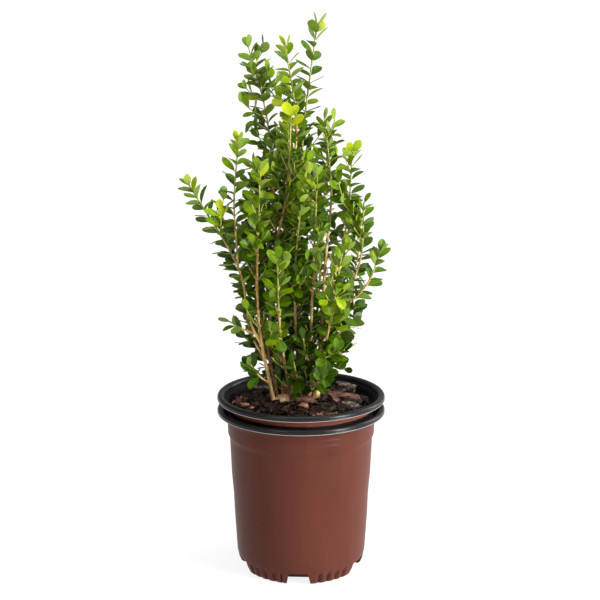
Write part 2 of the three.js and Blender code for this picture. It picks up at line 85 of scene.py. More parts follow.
# Pots
POT_HEIGHT = 164
RIM_RADIUS = 82.5
RIM_DEPTH = 5.6
LIP_WIDTH = 6.2
# Height of the pale band painted along a rim's lower edge as a highlight
EDGE_HIGHLIGHT_HEIGHT = 0.85
NEST_LIFT = 13
NEST_TRIM = 1.15
# Height of the black band painted as shade on the inner pot's wall just above the outer pot's rim
GAP_SHADE_HEIGHT = 5
POT_SEGMENTS = 420
# Heights up the wall, each with its outer radius, and the heights at which the wall has a ring of corners
WALL_MARKS = [
    (0, 57.6), (2.4, 60.0), (8, 62.2), (17, 64.0), (33, 65.0), (54, 66.3), (75, 67.1), (96, 68.9),
    (117, 69.8), (133, 70.5), (138, 72.2), (151, 72.7), (156, 74.3), (157.6, 75.2), (160, 77.6),
]
WALL_RINGS = [
    0.0, 0.8, 2.4, 3.5, 5, 6.5, 8, 10, 12, 14, 16, 18, 22, 33, 45, 54, 65, 75, 86, 96, 107, 117, 125,
    131, 133, 134.5, 136, 138, 139.5, 141, 142, 143.2, 144.4, 146, 147.4, 148.6, 149.8, 151, 153, 156,
    157.6, 158.8, 160,
]
FOOT_RADIUS = WALL_MARKS[0][1]
WALL_TOP = WALL_RINGS[-1]
# Flutes: their count, the height that they end below, how narrow they are, and where they deepen and fade
FLUTES = 42
FLUTE_TOP = 18
FLUTE_NARROWNESS = 2.6
FLUTE_FOOT = (0.2, 2.5)
FLUTE_FADE = (8.5, 13.5)
# Two short ridges on the band: heights, size, turn to their middle, and the turns where they rise and end
RIDGES = (143.2, 148.6)
RIDGE_RISE = 0.8
RIDGE_BREADTH = 1.5
RIDGE_TURN = 16
RIDGE_START = (-15, -11)
RIDGE_END = (12, 17)
# Waviness of the thin wall, its height from one wave to the next, and the heights over which it grows
WAVINESS = 0.22
WAVE_HEIGHT = 60
WAVY_FROM = (10, 60)
# Notches in the foot: turn in degrees and width
NOTCHES = [(-2.4, 24), (67.5, 33), (140, 33), (216, 33), (-71.5, 33)]
NOTCH_HEIGHT = 12.6
NOTCH_SLOPE = 2.2
NOTCH_DEPTH = 19
NOTCH_ROUNDING = 2.4
NOTCH_MARGIN = 3

# Potting mix
SOIL_TOP = 168
SOIL_RADIUS = 71.5
SOIL_FLOOR = 150
BED_RINGS = 48
BED_SIDES = 180
LUMP_SCALE = 0.11
# How far the mix sinks towards the wall, and the distances from the axis over which it does
MIX_SINK = 2.2
SINKS_OVER = (40, 70)
# The root crown's ellipse, which the chips keep clear of: its middle and its half sizes
KEPT_CLEAR = ((-3, 7), (25, 20))
# Scattered bits: name, length, breadth and thickness, finish, the count they are a share of and the share,
# range of sizes, and tilt
BITS = [
    ("chips_long", (19, 7, 3), "dark_chip", "chips", 0.2, (0.6, 1.2), 0.4),
    ("chips_broad", (13, 9, 3.4), "dark_chip", "chips", 0.2, (0.6, 1.2), 0.5),
    ("chips_red", (14, 6, 2.6), "red_chip", "chips", 0.09, (0.5, 1.1), 0.45),
    ("chips_small", (6, 3.6, 1.7), "dark_chip", "chips", 0.36, (0.6, 1.3), 0.7),
    ("crumbs_dark", (2.6, 1.9, 1.5), "dark_chip", "crumbs", 0.6, (0.5, 1.4), 1.5),
    ("crumbs_tan", (2, 1.6, 1.2), "tan_bit", "crumbs", 0.08, (0.5, 1.3), 1.5),
    ("straws", (10, 0.5, 0.4), "straw", "crumbs", 0.026, (0.5, 1.2), 0.35),
]
# A flake's corners: the stations along it, and side and height at each
CHIP_STATIONS = (-0.5, -0.32, 0.0, 0.3, 0.5)
CHIP_CORNERS = ((-1, -0.5), (-1, 0.5), (1, -0.5), (1, 0.5))
# Larger chips: name, place, length, breadth and thickness, turn in degrees, flakes and finish
LAID_CHIPS = [
    ("big_chip", (39, 6, 0), (31, 12, 9), -8, 4, "red_chip"),
    ("chip_middle", (4, -8, 2), (20, 9, 9), 8, 2, "red_chip"),
    ("chip_front", (-9, -17, -1), (17, 8, 5), -14, 2, "dark_chip"),
    ("chip_right", (46, -20, 0), (18, 10, 6), -14, 2, "grey_chip"),
    ("chip_left", (-37, -4, 0), (19, 9, 6), 16, 2, "dark_chip"),
    ("chip_far_right", (45, 38, 2), (20, 10, 8), -24, 2, "grey_chip"),
    ("chip_far_left", (-40, 34, 1), (22, 10, 6), 20, 2, "grey_chip"),
    ("chip_near", (24, -22, 0), (16, 9, 5), 30, 2, "dark_chip"),
]
CHIP_FINISHES = ["dark_chip", "red_chip", "tan_bit", "grey_chip", "straw"]
# Places and radii of the round bits
PEBBLES = [(2, -23, 4.6), (-54, -19, 3.6), (28, 29, 3.4), (-48, -27, 2.4), (-31, 18, 2.6)]
# Without a seed of its own, Blender's vector noise differs from run to run
PEBBLE_SEED = 5

# Stems: each rises from its foot, or from its parent at the height "at", through its bends to its tip.
# Leaves begin at the height "bare". A fork has the height of its foot, its bends and its tip.
STEMS = [
    dict(name="left_front", foot=(-26, -4), bends=[(-41, -14, 256)], tip=(-38, -38, 401),
         bare=254, girth=4.8),
    dict(name="far_left", parent="left_front", at=226, bends=[(-49, -15, 252), (-59, -17, 303)],
         tip=(-105, -20, 385), bare=258, girth=3.4, forks=[(305, [(-63, -21, 370)], (-58, -26, 426))]),
    dict(name="left_middle", foot=(-22, 3), bends=[(-44, -3, 290)], tip=(-50, -4, 366),
         bare=240, girth=3.6),
    dict(name="brown", foot=(-13, 5), bends=[(-32, -3, 274), (-14, -12, 375)], tip=(-9, -22, 450),
         bare=270, girth=6, forks=[(378, [(-4, -8, 432)], (-14, -14, 512))]),
    dict(name="tallest", foot=(-3, 9), bends=[(1, 11, 415)], tip=(15, 14, 532), bare=262, girth=5),
    dict(name="upper_left", foot=(-17, 11), bends=[(-26, 14, 366), (-33, 18, 446)], tip=(-50, 22, 511),
         bare=262, girth=4.6, forks=[(432, [(-44, 16, 440)], (-48, 14, 439))]),
    dict(name="pale_right", foot=(16, 11), bends=[(24, 8, 310), (29, 7, 375)], tip=(22, 4, 444),
         bare=284, girth=6),
    dict(name="upper_right", parent="pale_right", at=264, bends=[(43, 6, 338)], tip=(49, 2, 414),
         bare=284, girth=3.4),
    dict(name="right_arch", foot=(4, 3), bends=[(26, -4, 244), (56, -1, 305)], tip=(60, -2, 366),
         bare=262, girth=4.6),
    dict(name="far_right", parent="right_arch", at=254, bends=[(63, -6, 286)], tip=(76, -9, 320),
         bare=268, girth=3),
    dict(name="front_right", foot=(7, -6), bends=[(12, -17, 310)], tip=(15, -34, 396), bare=232, girth=4.2),
    dict(name="front_middle", foot=(-1, -3), bends=[(-6, -16, 295)], tip=(0, -33, 370),
         bare=226, girth=4.2),
    dict(name="low_front_left", foot=(-9, -5), bends=[(-20, -34, 250)], tip=(-22, -58, 322),
         bare=212, girth=3.8),
    dict(name="low_front_right", foot=(10, 2), bends=[(27, -32, 252)], tip=(38, -52, 326),
         bare=216, girth=3.8),
    dict(name="back_left", foot=(-12, 17), bends=[(-36, 38, 290)], tip=(-42, 52, 386), bare=238, girth=4.4),
    dict(name="back_far_left", parent="back_left", at=226, bends=[(-56, 36, 276)], tip=(-72, 42, 332),
         bare=246, girth=3),
    dict(name="back_middle", foot=(-2, 19), bends=[(-8, 46, 290)], tip=(-14, 64, 396), bare=236, girth=4.4),
    dict(name="back_tall", foot=(-8, 13), bends=[(-8, 30, 330)], tip=(-4, 36, 466), bare=270, girth=4.4),
    dict(name="back_right", foot=(9, 17), bends=[(20, 42, 300)], tip=(26, 52, 414), bare=240, girth=4.4),
    dict(name="back_far_right", parent="back_right", at=226, bends=[(45, 36, 268)], tip=(61, 42, 326),
         bare=244, girth=3),
]
REDDISH_STEMS = {"brown", "left_middle"}
SHADED_STEMS = {"front_middle", "front_right", "low_front_left", "low_front_right", "right_arch", "tallest"}
SLIMNESS = 0.86
TIP_RADIUS = 0.62
FLARE_RADIUS = 0.6
FLARE_REACH = 5
FORK_GIRTH = 0.9
STEM_STEP = 0.9
STEM_KNOTS = 13
STEM_FURROWS = 420.0
# Swelling of the wood at a pair of leaves, and its length
SWELLING = 0.28
SWELLING_LENGTH = 1.1
# Tones run from 0, the darkest. A leader's tone rises by so much from the crown's back to its front,
# painted light: lighter on the lit front, darker on the shaded back.
BACK_TONE = 0.2
FRONT_GAIN = 0.75
CROWN_DEPTH = 120

# Low side shoots: name, parent, height at its foot, bearing in degrees, reach sideways and rise
LOW_SHOOTS = [
    ("low_left", "far_left", 240, 197, 26, 14),
    ("low_right", "pale_right", 196, -38, 26, 24),
    ("bare_sprig", "pale_right", 204, -8, 37, 22),
    ("low_front", "front_middle", 190, 262, 34, 28),
    ("low_front_side", "front_right", 186, -62, 36, 20),
    ("low_left_front", "left_front", 188, 232, 30, 26),
    ("low_left_back", "upper_left", 200, 158, 40, 26),
    ("low_back_left", "back_left", 192, 118, 38, 24),
    ("low_back", "back_middle", 196, 84, 36, 26),
    ("low_back_right", "back_right", 190, 52, 40, 24),
    ("low_right_back", "pale_right", 222, 24, 42, 26),
    ("middle_left", "left_front", 214, 150, 20, 34),
    ("middle_front", "front_right", 206, -104, 26, 34),
    ("middle_right", "pale_right", 236, -20, 34, 30),
    ("middle_back", "tallest", 226, 96, 22, 34),
]
BARE_SHOOTS = {"bare_sprig"}
LOW_RADIUS = 1.2
LOW_TONE = 0.3
LOW_SAG = 0.12

# Small leafy sprigs low on the stems: heights of the first and last, the step from one to the next,
# their reach, rise, room, radii, tone and sag, and the height below which a stem has none
SPRIG_HEIGHTS = (174, 256)
SPRIG_STEP = 11
SPRIG_REACH = (7, 15)
SPRIG_RISE = (11, 19)
SPRIG_ROOM = (26, 26, 30)
SPRIG_RADII = (0.7, 0.5)
SPRIG_TONE = 0.35
SPRIG_SAG = 1.5
BARE_BELOW = {"left_front": 300, "pale_right": 194, "low_front_right": 198}

# Side twigs: lengths of the bare spurs, the side twigs and the fine twigs on those, their spacing, how far
# below the leaves they begin, the heights between which they grow fewer, and the masses with fewer of them
SPUR_LENGTH = 13
SIDE_LENGTH = 46
FINE_LENGTH = 30
FINE_CHANCE = 0.9
SIDE_SPACING = 9
LOW_TWIGS = 26
THIN_FROM = 350
THIN_TO = 440
THINNED = 0.78
SPARSE = {
    "far_left": 0.1, "tallest": 0.6, "back_tall": 0.45, "back_right": 0.7, "pale_right": 0.75,
    "back_far_left": 0.4, "low_left": 0.3, "low_left_back": 0.4, "low_left_front": 0.5, "low_right": 0.5,
    "low_right_back": 0.5, "back_far_right": 0.6,
}
TWIG_CLEARANCE = 2.2
TWIG_MARGIN = 2.5
# Their range of lengths, how much shorter they are at a shoot's tip, their lean from it in degrees, their
# bend, the share of its radius that they have, their largest and smallest radius, and the drift of tone
SIDE_RANGE = (0.6, 1.15)
SIDE_SHORTENING = 0.45
SIDE_LEAN = (34, 52)
SIDE_BEND = 0.07
SIDE_GIRTH = 0.7
SIDE_RADII = (1.0, 0.45)
TONE_DRIFT = 0.35

# The two pieces of twigs: faces round a twig, relief, finish and slot; and steps along leaders and others
TWIG_PIECES = {
    "twigs_tan": (8, 0.1, "tan_twig", "pale_bark"),
    "twigs_green": (7, 0.0, "green_shoot", "green_shoot"),
}
TWIG_FURROWS = 500.0
TWIG_STEPS = (1.2, 2, 2)
TWIG_OVERLAP = 0.4

# Leaves: how far below the leafy height they begin, the spacing of the pairs and where green wood begins
# on a shoot of each order, and their clearance from wood and from each other
LOW_LEAVES = 12
NODE_SPACING = (0.78, 0.84, 0.84)
YOUNG_FROM = (0.55, 0.3, 0.1)
WOOD_CLEARANCE = 1.9
LEAF_CLEARANCE = 1.6
LEAF_OVERHANG = 1.5
# Where along a leaf its clearance is tested
LEAF_TESTS = (0.45, 0.75, 1.0)
# Range of sizes, size on side twigs, range of lengths to breadths, roll, and drift of a pair's turn
LEAF_RANGE = (0.82, 1.12)
SIDE_LEAVES = 0.9
LEAF_STRETCH = (0.9, 1.1)
LEAF_ROLL = 0.22
PAIR_DRIFT = 0.25
# How far leaves stand off the shoot in degrees, and their size: along it, near its tip and at its last node
LEAF_SPREADS = ((48, 74), (34, 54), (16, 32))
LEAF_SIZES = (1.0, 0.98, 0.84)
# Outline of a leaf: fractions of its length and its breadth there
LEAF_STATIONS = [(0.0, 0.07), (0.09, 0.13), (0.26, 0.62), (0.47, 0.95), (0.68, 1.0), (0.87, 0.72)]
# Half the midrib and the column beside it as shares of half the breadth, the groove and the thickness
RIB_HALF = 0.028
LEAF_COLUMN = 0.55
GROOVE = 0.1
LEAF_THICKNESS = 0.42
# The three shapes of leaves: name, fold, droop and cup
LEAF_KINDS = [("leaf_a", 0.16, 0.05, 0.02), ("leaf_b", 0.34, 0.12, 0.03), ("leaf_c", 0.05, -0.03, 0.05)]
# Tones of the leaves, from the shaded inside of the crown to the freshest tips
LEAF_GREENS = {
    "dark": (0.026, 0.062, 0.0008),
    "green": (0.062, 0.132, 0.0012),
    "bright": (0.140, 0.238, 0.002),
    "young": (0.300, 0.380, 0.005),
    "yellow": (0.430, 0.480, 0.010),
}
TONES = list(LEAF_GREENS)
ODD_YELLOW = 0.004
# A leaf's tone: shaded within this distance of the axis and below the heights of the upper crown, and
# fresher near the tips above the part of it given
SHADED_WITHIN = 62
UPPER_CROWN = (200, 450)
HEIGHT_GAIN = 0.95
SHADE_LOSS = 0.5
TONE_SPREAD = 0.55
FRESH_GAIN = 0.6
FRESH_ABOVE = 0.3
# Leaders with fresh tips: the tone of the tip leaves, and how many of the last pairs face the front
YELLOW_TIPS = {"brown": 4, "upper_right": 3}
FRONT_PAIRS = {"brown": 2, "upper_right": 1}
TO_THE_LIGHT = Vector((-0.1, -1, 0.45))
# Heights between which a stem shows in the photo, clear of leaves for the viewer in front
SHOWN_STEMS = {"left_front": (172, 300), "left_middle": (188, 222), "pale_right": (276, 335)}
SHOWN_HALF = 3.6
SHOWN_STEP = 3
VIEW_SLOPE = 0.22

# Root crown: places and half sizes of its lumps
CROWN_LUMPS = [
    ((-4, 9), (15, 11, 8.5)),
    ((-17, -2), (9, 7, 9)),
    ((4, 5), (8, 6, 4)),
    ((-24, -1), (5.5, 5, 6.5)),
    ((2, 14), (7, 6, 7)),
    ((-9, -4), (6, 5, 7)),
    ((16, 11), (5, 5, 4)),
]
CROWN_VOXEL = 0.55
# Knobs and furrows on it: scale of their noise in cycles a metre, and relief
KNOBS = (300, 1.7)
CROWN_FURROWS = (700, 0.45)

# Grained finishes: colours from dark to light, scale of the grain, its stretch upwards, relief, roughness
# and gloss. None among the colours stands for the colour that is set in the panel.
GRAINED = {
    "dark_chip": ([(0.002, 0.001, 0.0008), (0.006, 0.003, 0.002), (0.11, 0.06, 0.038)],
                  230, 2.4, 0.9, 0.6, 0.15),
    "red_chip": ([(0.03, 0.011, 0.008), (0.13, 0.052, 0.038), (0.34, 0.18, 0.13)],
                 230, 2.4, 0.8, 0.6, 0.2),
    "tan_bit": ([(0.07, 0.03, 0.016), (0.27, 0.12, 0.06), (0.42, 0.26, 0.16)], 340, 1, 0.5, 0.85, 0.3),
    "grey_chip": ([(0.012, 0.008, 0.006), (0.05, 0.035, 0.028), (0.42, 0.32, 0.25)],
                  260, 2.4, 0.9, 0.6, 0.2),
    "straw": ([(0.22, 0.15, 0.08), (0.46, 0.36, 0.22)], 400, 1, 0.3, 0.85, 0.3),
    "potting_mix": ([None, (0.008, 0.004, 0.0025), (0.035, 0.018, 0.011)], 520, 1, 1.2, 0.9, 0.1),
    "burl_bark": ([(0.22, 0.10, 0.04), (0.82, 0.52, 0.27), (0.96, 0.80, 0.56)], 420, 0.6, 1.0, 0.85, 0.3),
    "pale_bark": ([(0.42, 0.21, 0.07), None, (0.97, 0.76, 0.40)], 380, 0.22, 0.5, 0.85, 0.3),
    "brown_bark": ([(0.15, 0.065, 0.04), None, (0.60, 0.42, 0.28)], 380, 0.22, 0.5, 0.85, 0.3),
    "shaded_bark": ([(0.05, 0.028, 0.014), (0.19, 0.11, 0.05), (0.42, 0.28, 0.14)],
                    380, 0.22, 0.5, 0.85, 0.3),
    "tan_twig": ([(0.32, 0.16, 0.045), (0.66, 0.41, 0.13), (0.82, 0.64, 0.30)], 420, 0.25, 0.25, 0.7, 0.3),
    "green_shoot": ([(0.18, 0.20, 0.03), (0.34, 0.36, 0.06), (0.48, 0.42, 0.12)], 300, 0.3, 0.1, 0.5, 0.3),
}
# Colours of dust and of the painted highlight on the rims' lower edges, and those that a leaf's underside
# and midrib fade towards
DUST = (0.34, 0.27, 0.22, 1)
EDGE_HIGHLIGHT_GREY = (0.34, 0.325, 0.315)
LEAF_UNDERSIDE = (0.19, 0.24, 0.06)
LEAF_RIB = (0.40, 0.44, 0.07)

# Stage, in metres: half the floor's side, how it glows more from near to far, and the sky's light from
# its darker side to its brighter one
FLOOR_HALF = 6000
FLOOR_GLOW = {"From Min": 0.3, "From Max": 2.5, "To Min": 0.86, "To Max": 1.0}
SKY_SIDE = (0.8, -0.3, 0.45)
SKY_LIGHT = {"From Min": -1, "To Min": 0.08, "To Max": 0.7}
SENSOR_WIDTH = 36
CAMERA_ASIDE = -1 * MM
# Lights: name, place, target, size in metres and power
LIGHTS = [
    ("key", (1.16, -0.8, 0.6), (0, 0, 0.25), (0.28, 1.1), 36),
    ("side", (1.4, 0.7, 0.8), (0, 0, 0.2), (0.5, 1.2), 11),
    ("crown_fill", (-0.7, -1.0, 1.3), (0, 0, 0.42), (0.5, 0.5), 5),
    ("top", (0.1, 0.0, 1.8), (0, 0, 0.3), (0.9, 0.9), 13),
]


class BoxwoodPotSettings(bpy.types.PropertyGroup):
    wall: FloatProperty(
        name="Wall", description="Thickness of the pots' walls", default=1.2 * MM, subtype="DISTANCE"
    )
    flute_depth: FloatProperty(
        name="Flute depth", description="Depth of the flutes round the foot", default=3.1 * MM,
        subtype="DISTANCE",
    )
    brown: FloatVectorProperty(
        name="Brown", description="Colour of the outer faces", default=(0.091, 0.0248, 0.0155),
        subtype="COLOR", min=0, max=1,
    )
    black: FloatVectorProperty(
        name="Black", description="Colour of the rims and inner faces", default=(0.0075, 0.0071, 0.0078),
        subtype="COLOR", min=0, max=1,
    )


class BoxwoodSoilSettings(bpy.types.PropertyGroup):
    relief: FloatProperty(
        name="Relief", description="Height of the lumps of the mix", default=2.2 * MM, subtype="DISTANCE"
    )
    chips: IntProperty(name="Chips", description="How many bark chips lie on the mix", default=430)
    crumbs: IntProperty(name="Crumbs", description="How many small bits lie between them", default=700)
    colour: FloatVectorProperty(
        name="Mix", description="Colour of the wet mix", default=(0.004, 0.0022, 0.0016),
        subtype="COLOR", min=0, max=1,
    )


class BoxwoodStemSettings(bpy.types.PropertyGroup):
    relief: FloatProperty(
        name="Bark relief", description="Depth of the furrows in the bark", default=0.42 * MM,
        subtype="DISTANCE",
    )
    sides: IntProperty(name="Sides", description="Faces round a stem", default=16, min=6)
    pale: FloatVectorProperty(
        name="Pale bark", description="Colour of the old peeling bark", default=(0.88, 0.56, 0.21),
        subtype="COLOR", min=0, max=1,
    )
    brown: FloatVectorProperty(
        name="Brown bark", description="Colour of the reddish bark", default=(0.38, 0.19, 0.11),
        subtype="COLOR", min=0, max=1,
    )


class BoxwoodLeafSettings(bpy.types.PropertyGroup):
    length: FloatProperty(
        name="Length", description="Length of a full-grown leaf", default=17.5 * MM, subtype="DISTANCE"
    )
    width: FloatProperty(
        name="Width", description="Width of a full-grown leaf", default=10 * MM, subtype="DISTANCE"
    )
    spacing: FloatProperty(
        name="Spacing", description="Distance from one pair of leaves to the next", default=9 * MM,
        subtype="DISTANCE",
    )
    seed: IntProperty(name="Seed", description="Order of the side twigs and the leaves' tilt", default=7)


class BoxwoodStageSettings(bpy.types.PropertyGroup):
    distance: FloatProperty(
        name="Distance", description="From the camera to the pot's axis", default=1.3, subtype="DISTANCE"
    )
    height: FloatProperty(
        name="Height", description="Height of the camera", default=0.556, subtype="DISTANCE"
    )
    pitch: FloatProperty(
        name="Pitch", description="How far the camera looks down", default=math.radians(12.4),
        subtype="ANGLE",
    )
    lens: FloatProperty(name="Lens", description="Focal length in millimetres", default=82.26)
    floor: FloatVectorProperty(
        name="Floor", description="Colour of the floor", default=(0.17, 0.17, 0.17),
        subtype="COLOR", min=0, max=1,
    )


class BoxwoodSettings(bpy.types.PropertyGroup):
    pot: PointerProperty(type=BoxwoodPotSettings)
    soil: PointerProperty(type=BoxwoodSoilSettings)
    stem: PointerProperty(type=BoxwoodStemSettings)
    leaf: PointerProperty(type=BoxwoodLeafSettings)
    stage: PointerProperty(type=BoxwoodStageSettings)


# Small helpers

def clamp(value, low=0.0, high=1.0):
    return max(low, min(high, value))


def smooth_step(value, low, high):
    t = clamp((value - low) / (high - low))
    return t * t * (3 - 2 * t)


def wrapped(angle):
    """The same angle between -180 and 180 degrees."""
    return (angle + 180) % 360 - 180


def metres(point):
    return Vector(point) * MM


def mesh_object(name, mesh):
    piece = bpy.data.objects.new(name, mesh)
    bpy.context.scene.collection.objects.link(piece)
    return piece


def from_bmesh(name, shape, smooth=True):
    mesh = bpy.data.meshes.new(name)
    shape.to_mesh(mesh)
    shape.free()
    mesh.polygons.foreach_set("use_smooth", [smooth] * len(mesh.polygons))
    return mesh_object(name, mesh)


def solid(name, shape, smooth=True):
    """An object of a closed shape, its faces turned outwards."""
    bmesh.ops.recalc_face_normals(shape, faces=shape.faces)
    return from_bmesh(name, shape, smooth)


def bridge(shape, rings):
    """Faces from each ring of corners to the next; a ring of one corner makes a fan."""
    for lower, upper in zip(rings, rings[1:]):
        sides = max(len(lower), len(upper))
        for i in range(sides):
            j = (i + 1) % sides
            below = [lower[i % len(lower)], lower[j % len(lower)]]
            above = [upper[j % len(upper)], upper[i % len(upper)]]
            shape.faces.new(list(dict.fromkeys(below + above)))


def add_ball(shape, place, size):
    """Adds a ball of three half sizes; place and size are in millimetres."""
    matrix = Matrix.Translation(metres(place)) @ Matrix.Diagonal((*metres(size), 1))
    bmesh.ops.create_icosphere(shape, subdivisions=3, radius=1, matrix=matrix)


def evaluated_copy(source, name):
    """The plain mesh that an object's modifiers give, as an object of its own; the source is removed."""
    graph = bpy.context.evaluated_depsgraph_get()
    mesh = bpy.data.meshes.new_from_object(source.evaluated_get(graph))
    bpy.data.objects.remove(source)
    mesh.name = name
    return mesh_object(name, mesh)


def stands(piece, slot, nodes, *materials):
    """The piece rides on the plant's one body with the materials given, and stands for nodes; the slot is
    not used.
    """
    for material in materials:
        piece.data.materials.append(material)
    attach(piece, "root")
    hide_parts(*nodes)


# Node helpers, for materials and for geometry

def feed(tree, node, inputs):
    """Sets a node's inputs, or links them where the value given is another node's output."""
    for socket, value in inputs.items():
        if isinstance(value, bpy.types.NodeSocket):
            tree.links.new(value, node.inputs[socket])
        else:
            node.inputs[socket].default_value = value


def add(tree, kind, inputs=None, **settings):
    """Adds a node with its settings and inputs, and gives its outputs."""
    node = tree.nodes.new(kind)
    for name, value in settings.items():
        setattr(node, name, value)
    feed(tree, node, inputs or {})
    return node.outputs


def rgba(colour, factor=1.0):
    return (*[clamp(channel * factor) for channel in colour], 1.0)


def principled(name, values):
    """A new material, its tree and its Principled shader; each value is set on the shader's own socket."""
    material = bpy.data.materials.new(name)
    material.use_nodes = True
    tree = material.node_tree
    shader = tree.nodes["Principled BSDF"]
    feed(tree, shader, values)
    return material, tree, shader


def noise_at(tree, scale, stretch=1, detail=4.0, roughness=0.55):
    """Noise on the piece's own coordinates, in cycles a metre, pressed together or drawn out upwards."""
    place = add(tree, "ShaderNodeTexCoord")["Object"]
    mapped = add(tree, "ShaderNodeMapping", {"Vector": place, "Scale": (1, 1, stretch)})["Vector"]
    return add(tree, "ShaderNodeTexNoise", {
        "Vector": mapped, "Scale": scale, "Detail": detail, "Roughness": roughness,
    })["Fac"]


def ramp(tree, factor, stops):
    node = tree.nodes.new("ShaderNodeValToRGB")
    feed(tree, node, {"Fac": factor})
    elements = node.color_ramp.elements
    while len(elements) < len(stops):
        elements.new(0.5)
    for element, (place, colour) in zip(elements, stops):
        element.position = place
        element.color = colour
    return node.outputs["Color"]


def value_range(tree, factor, low, high):
    return add(tree, "ShaderNodeMapRange", {"Value": factor, "To Min": low, "To Max": high})["Result"]


def bump(tree, height, strength, distance):
    inputs = {"Height": height, "Strength": strength, "Distance": distance * MM}
    return add(tree, "ShaderNodeBump", inputs)["Normal"]


# Materials

def plastic(name, colour, roughness, dust, gloss=0.3):
    """Satin moulded plastic: faint flow streaks, scuffs and a little dust."""
    material, tree, shader = principled(name, {"Specular IOR Level": gloss})
    streaks = noise_at(tree, 46, 0.22, detail=5)
    shades = [(0.28, rgba(colour, 0.86)), (0.55, rgba(colour)), (0.8, rgba(colour, 1.13))]
    base = ramp(tree, streaks, shades)
    specks = noise_at(tree, 420, detail=6, roughness=0.7)
    dusty = ramp(tree, specks, [(0.62, (0, 0, 0, 1)), (0.78, (dust, dust, dust, 1))])
    feed(tree, shader, {
        "Base Color": add(tree, "ShaderNodeMix", {0: dusty, 6: base, 7: DUST}, data_type="RGBA")[2],
        "Roughness": value_range(tree, streaks, roughness - 0.05, roughness + 0.1),
        "Normal": bump(tree, noise_at(tree, 1500, 0.6, detail=3), 0.12, 0.05),
    })
    return material


def grained(name, colour=None):
    """Bark, mix and chips: a ramp of colours over stretched noise, with the same noise as relief."""
    colours, scale, stretch, relief, roughness, gloss = GRAINED[name]
    material, tree, shader = principled(name, {"Roughness": roughness, "Specular IOR Level": gloss})
    grain = noise_at(tree, scale, stretch, detail=8, roughness=0.65)
    stops = [(0.3 + 0.4 * i / (len(colours) - 1), rgba(given or colour)) for i, given in enumerate(colours)]
    feed(tree, shader, {"Base Color": ramp(tree, grain, stops), "Normal": bump(tree, grain, 0.6, relief)})
    return material


def leaf_material(name, colour, spread, roughness):
    """Waxy leaf: its green drifts a little from spray to spray, under a soft sheen of wax."""
    material, tree, shader = principled(name, {
        "Specular IOR Level": 0.16, "Subsurface Weight": 0.05, "Subsurface Scale": 0.002,
        "Subsurface Radius": (0.4, 1.0, 0.1),
    })
    mottle = noise_at(tree, 900, detail=3)
    yellower = (colour[0] * (1 + spread), colour[1] * (1 + 0.45 * spread), colour[2])
    deeper = (colour[0] * (1 - spread), colour[1] * (1 - 0.6 * spread), colour[2] * (1 - 0.3 * spread))
    stops = [(0.34, rgba(deeper)), (0.52, rgba(colour)), (0.7, rgba(yellower))]
    feed(tree, shader, {
        "Base Color": ramp(tree, noise_at(tree, 55, detail=2), stops),
        "Roughness": value_range(tree, mottle, roughness - 0.06, roughness + 0.12),
        "Normal": bump(tree, mottle, 0.25, 0.08),
    })
    return material


def leaf_materials(tone):
    """Upper face, underside and midrib of the leaves of one tone."""
    colour = Vector(LEAF_GREENS[tone])
    under = colour.lerp(Vector(LEAF_UNDERSIDE), 0.5)
    rib = colour.lerp(Vector(LEAF_RIB), 0.4)
    return {
        "Upper": leaf_material(f"leaf_{tone}_upper", colour, 0.3, 0.3),
        "Under": leaf_material(f"leaf_{tone}_under", under, 0.15, 0.6),
        "Rib": leaf_material(f"leaf_{tone}_rib", rib, 0.1, 0.5),
    }


# Geometry node trees

def new_tree(name, inputs):
    """A geometry node tree with a Geometry input and the inputs given by name with their socket types."""
    tree = bpy.data.node_groups.new(name, "GeometryNodeTree")
    for label, kind in {"Geometry": "NodeSocketGeometry", **inputs}.items():
        tree.interface.new_socket(name=label, in_out="INPUT", socket_type=kind)
    tree.interface.new_socket(name="Geometry", in_out="OUTPUT", socket_type="NodeSocketGeometry")
    return tree, tree.nodes.new("NodeGroupInput").outputs


def give_out(tree, geometry):
    tree.links.new(geometry, tree.nodes.new("NodeGroupOutput").inputs["Geometry"])
    return tree


def named(tree, name, kind):
    return add(tree, "GeometryNodeInputNamedAttribute", {"Name": name}, data_type=kind)[0]


def run_tree(source, tree, values, name):
    """Runs a tree on an object with its inputs set, and gives the result as a plain mesh object."""
    modifier = source.modifiers.new("shape", "NODES")
    modifier.node_group = tree
    for item in tree.interface.items_tree:
        if item.in_out == "INPUT" and item.name in values:
            modifier[item.identifier] = values[item.name]
    return evaluated_copy(source, name)


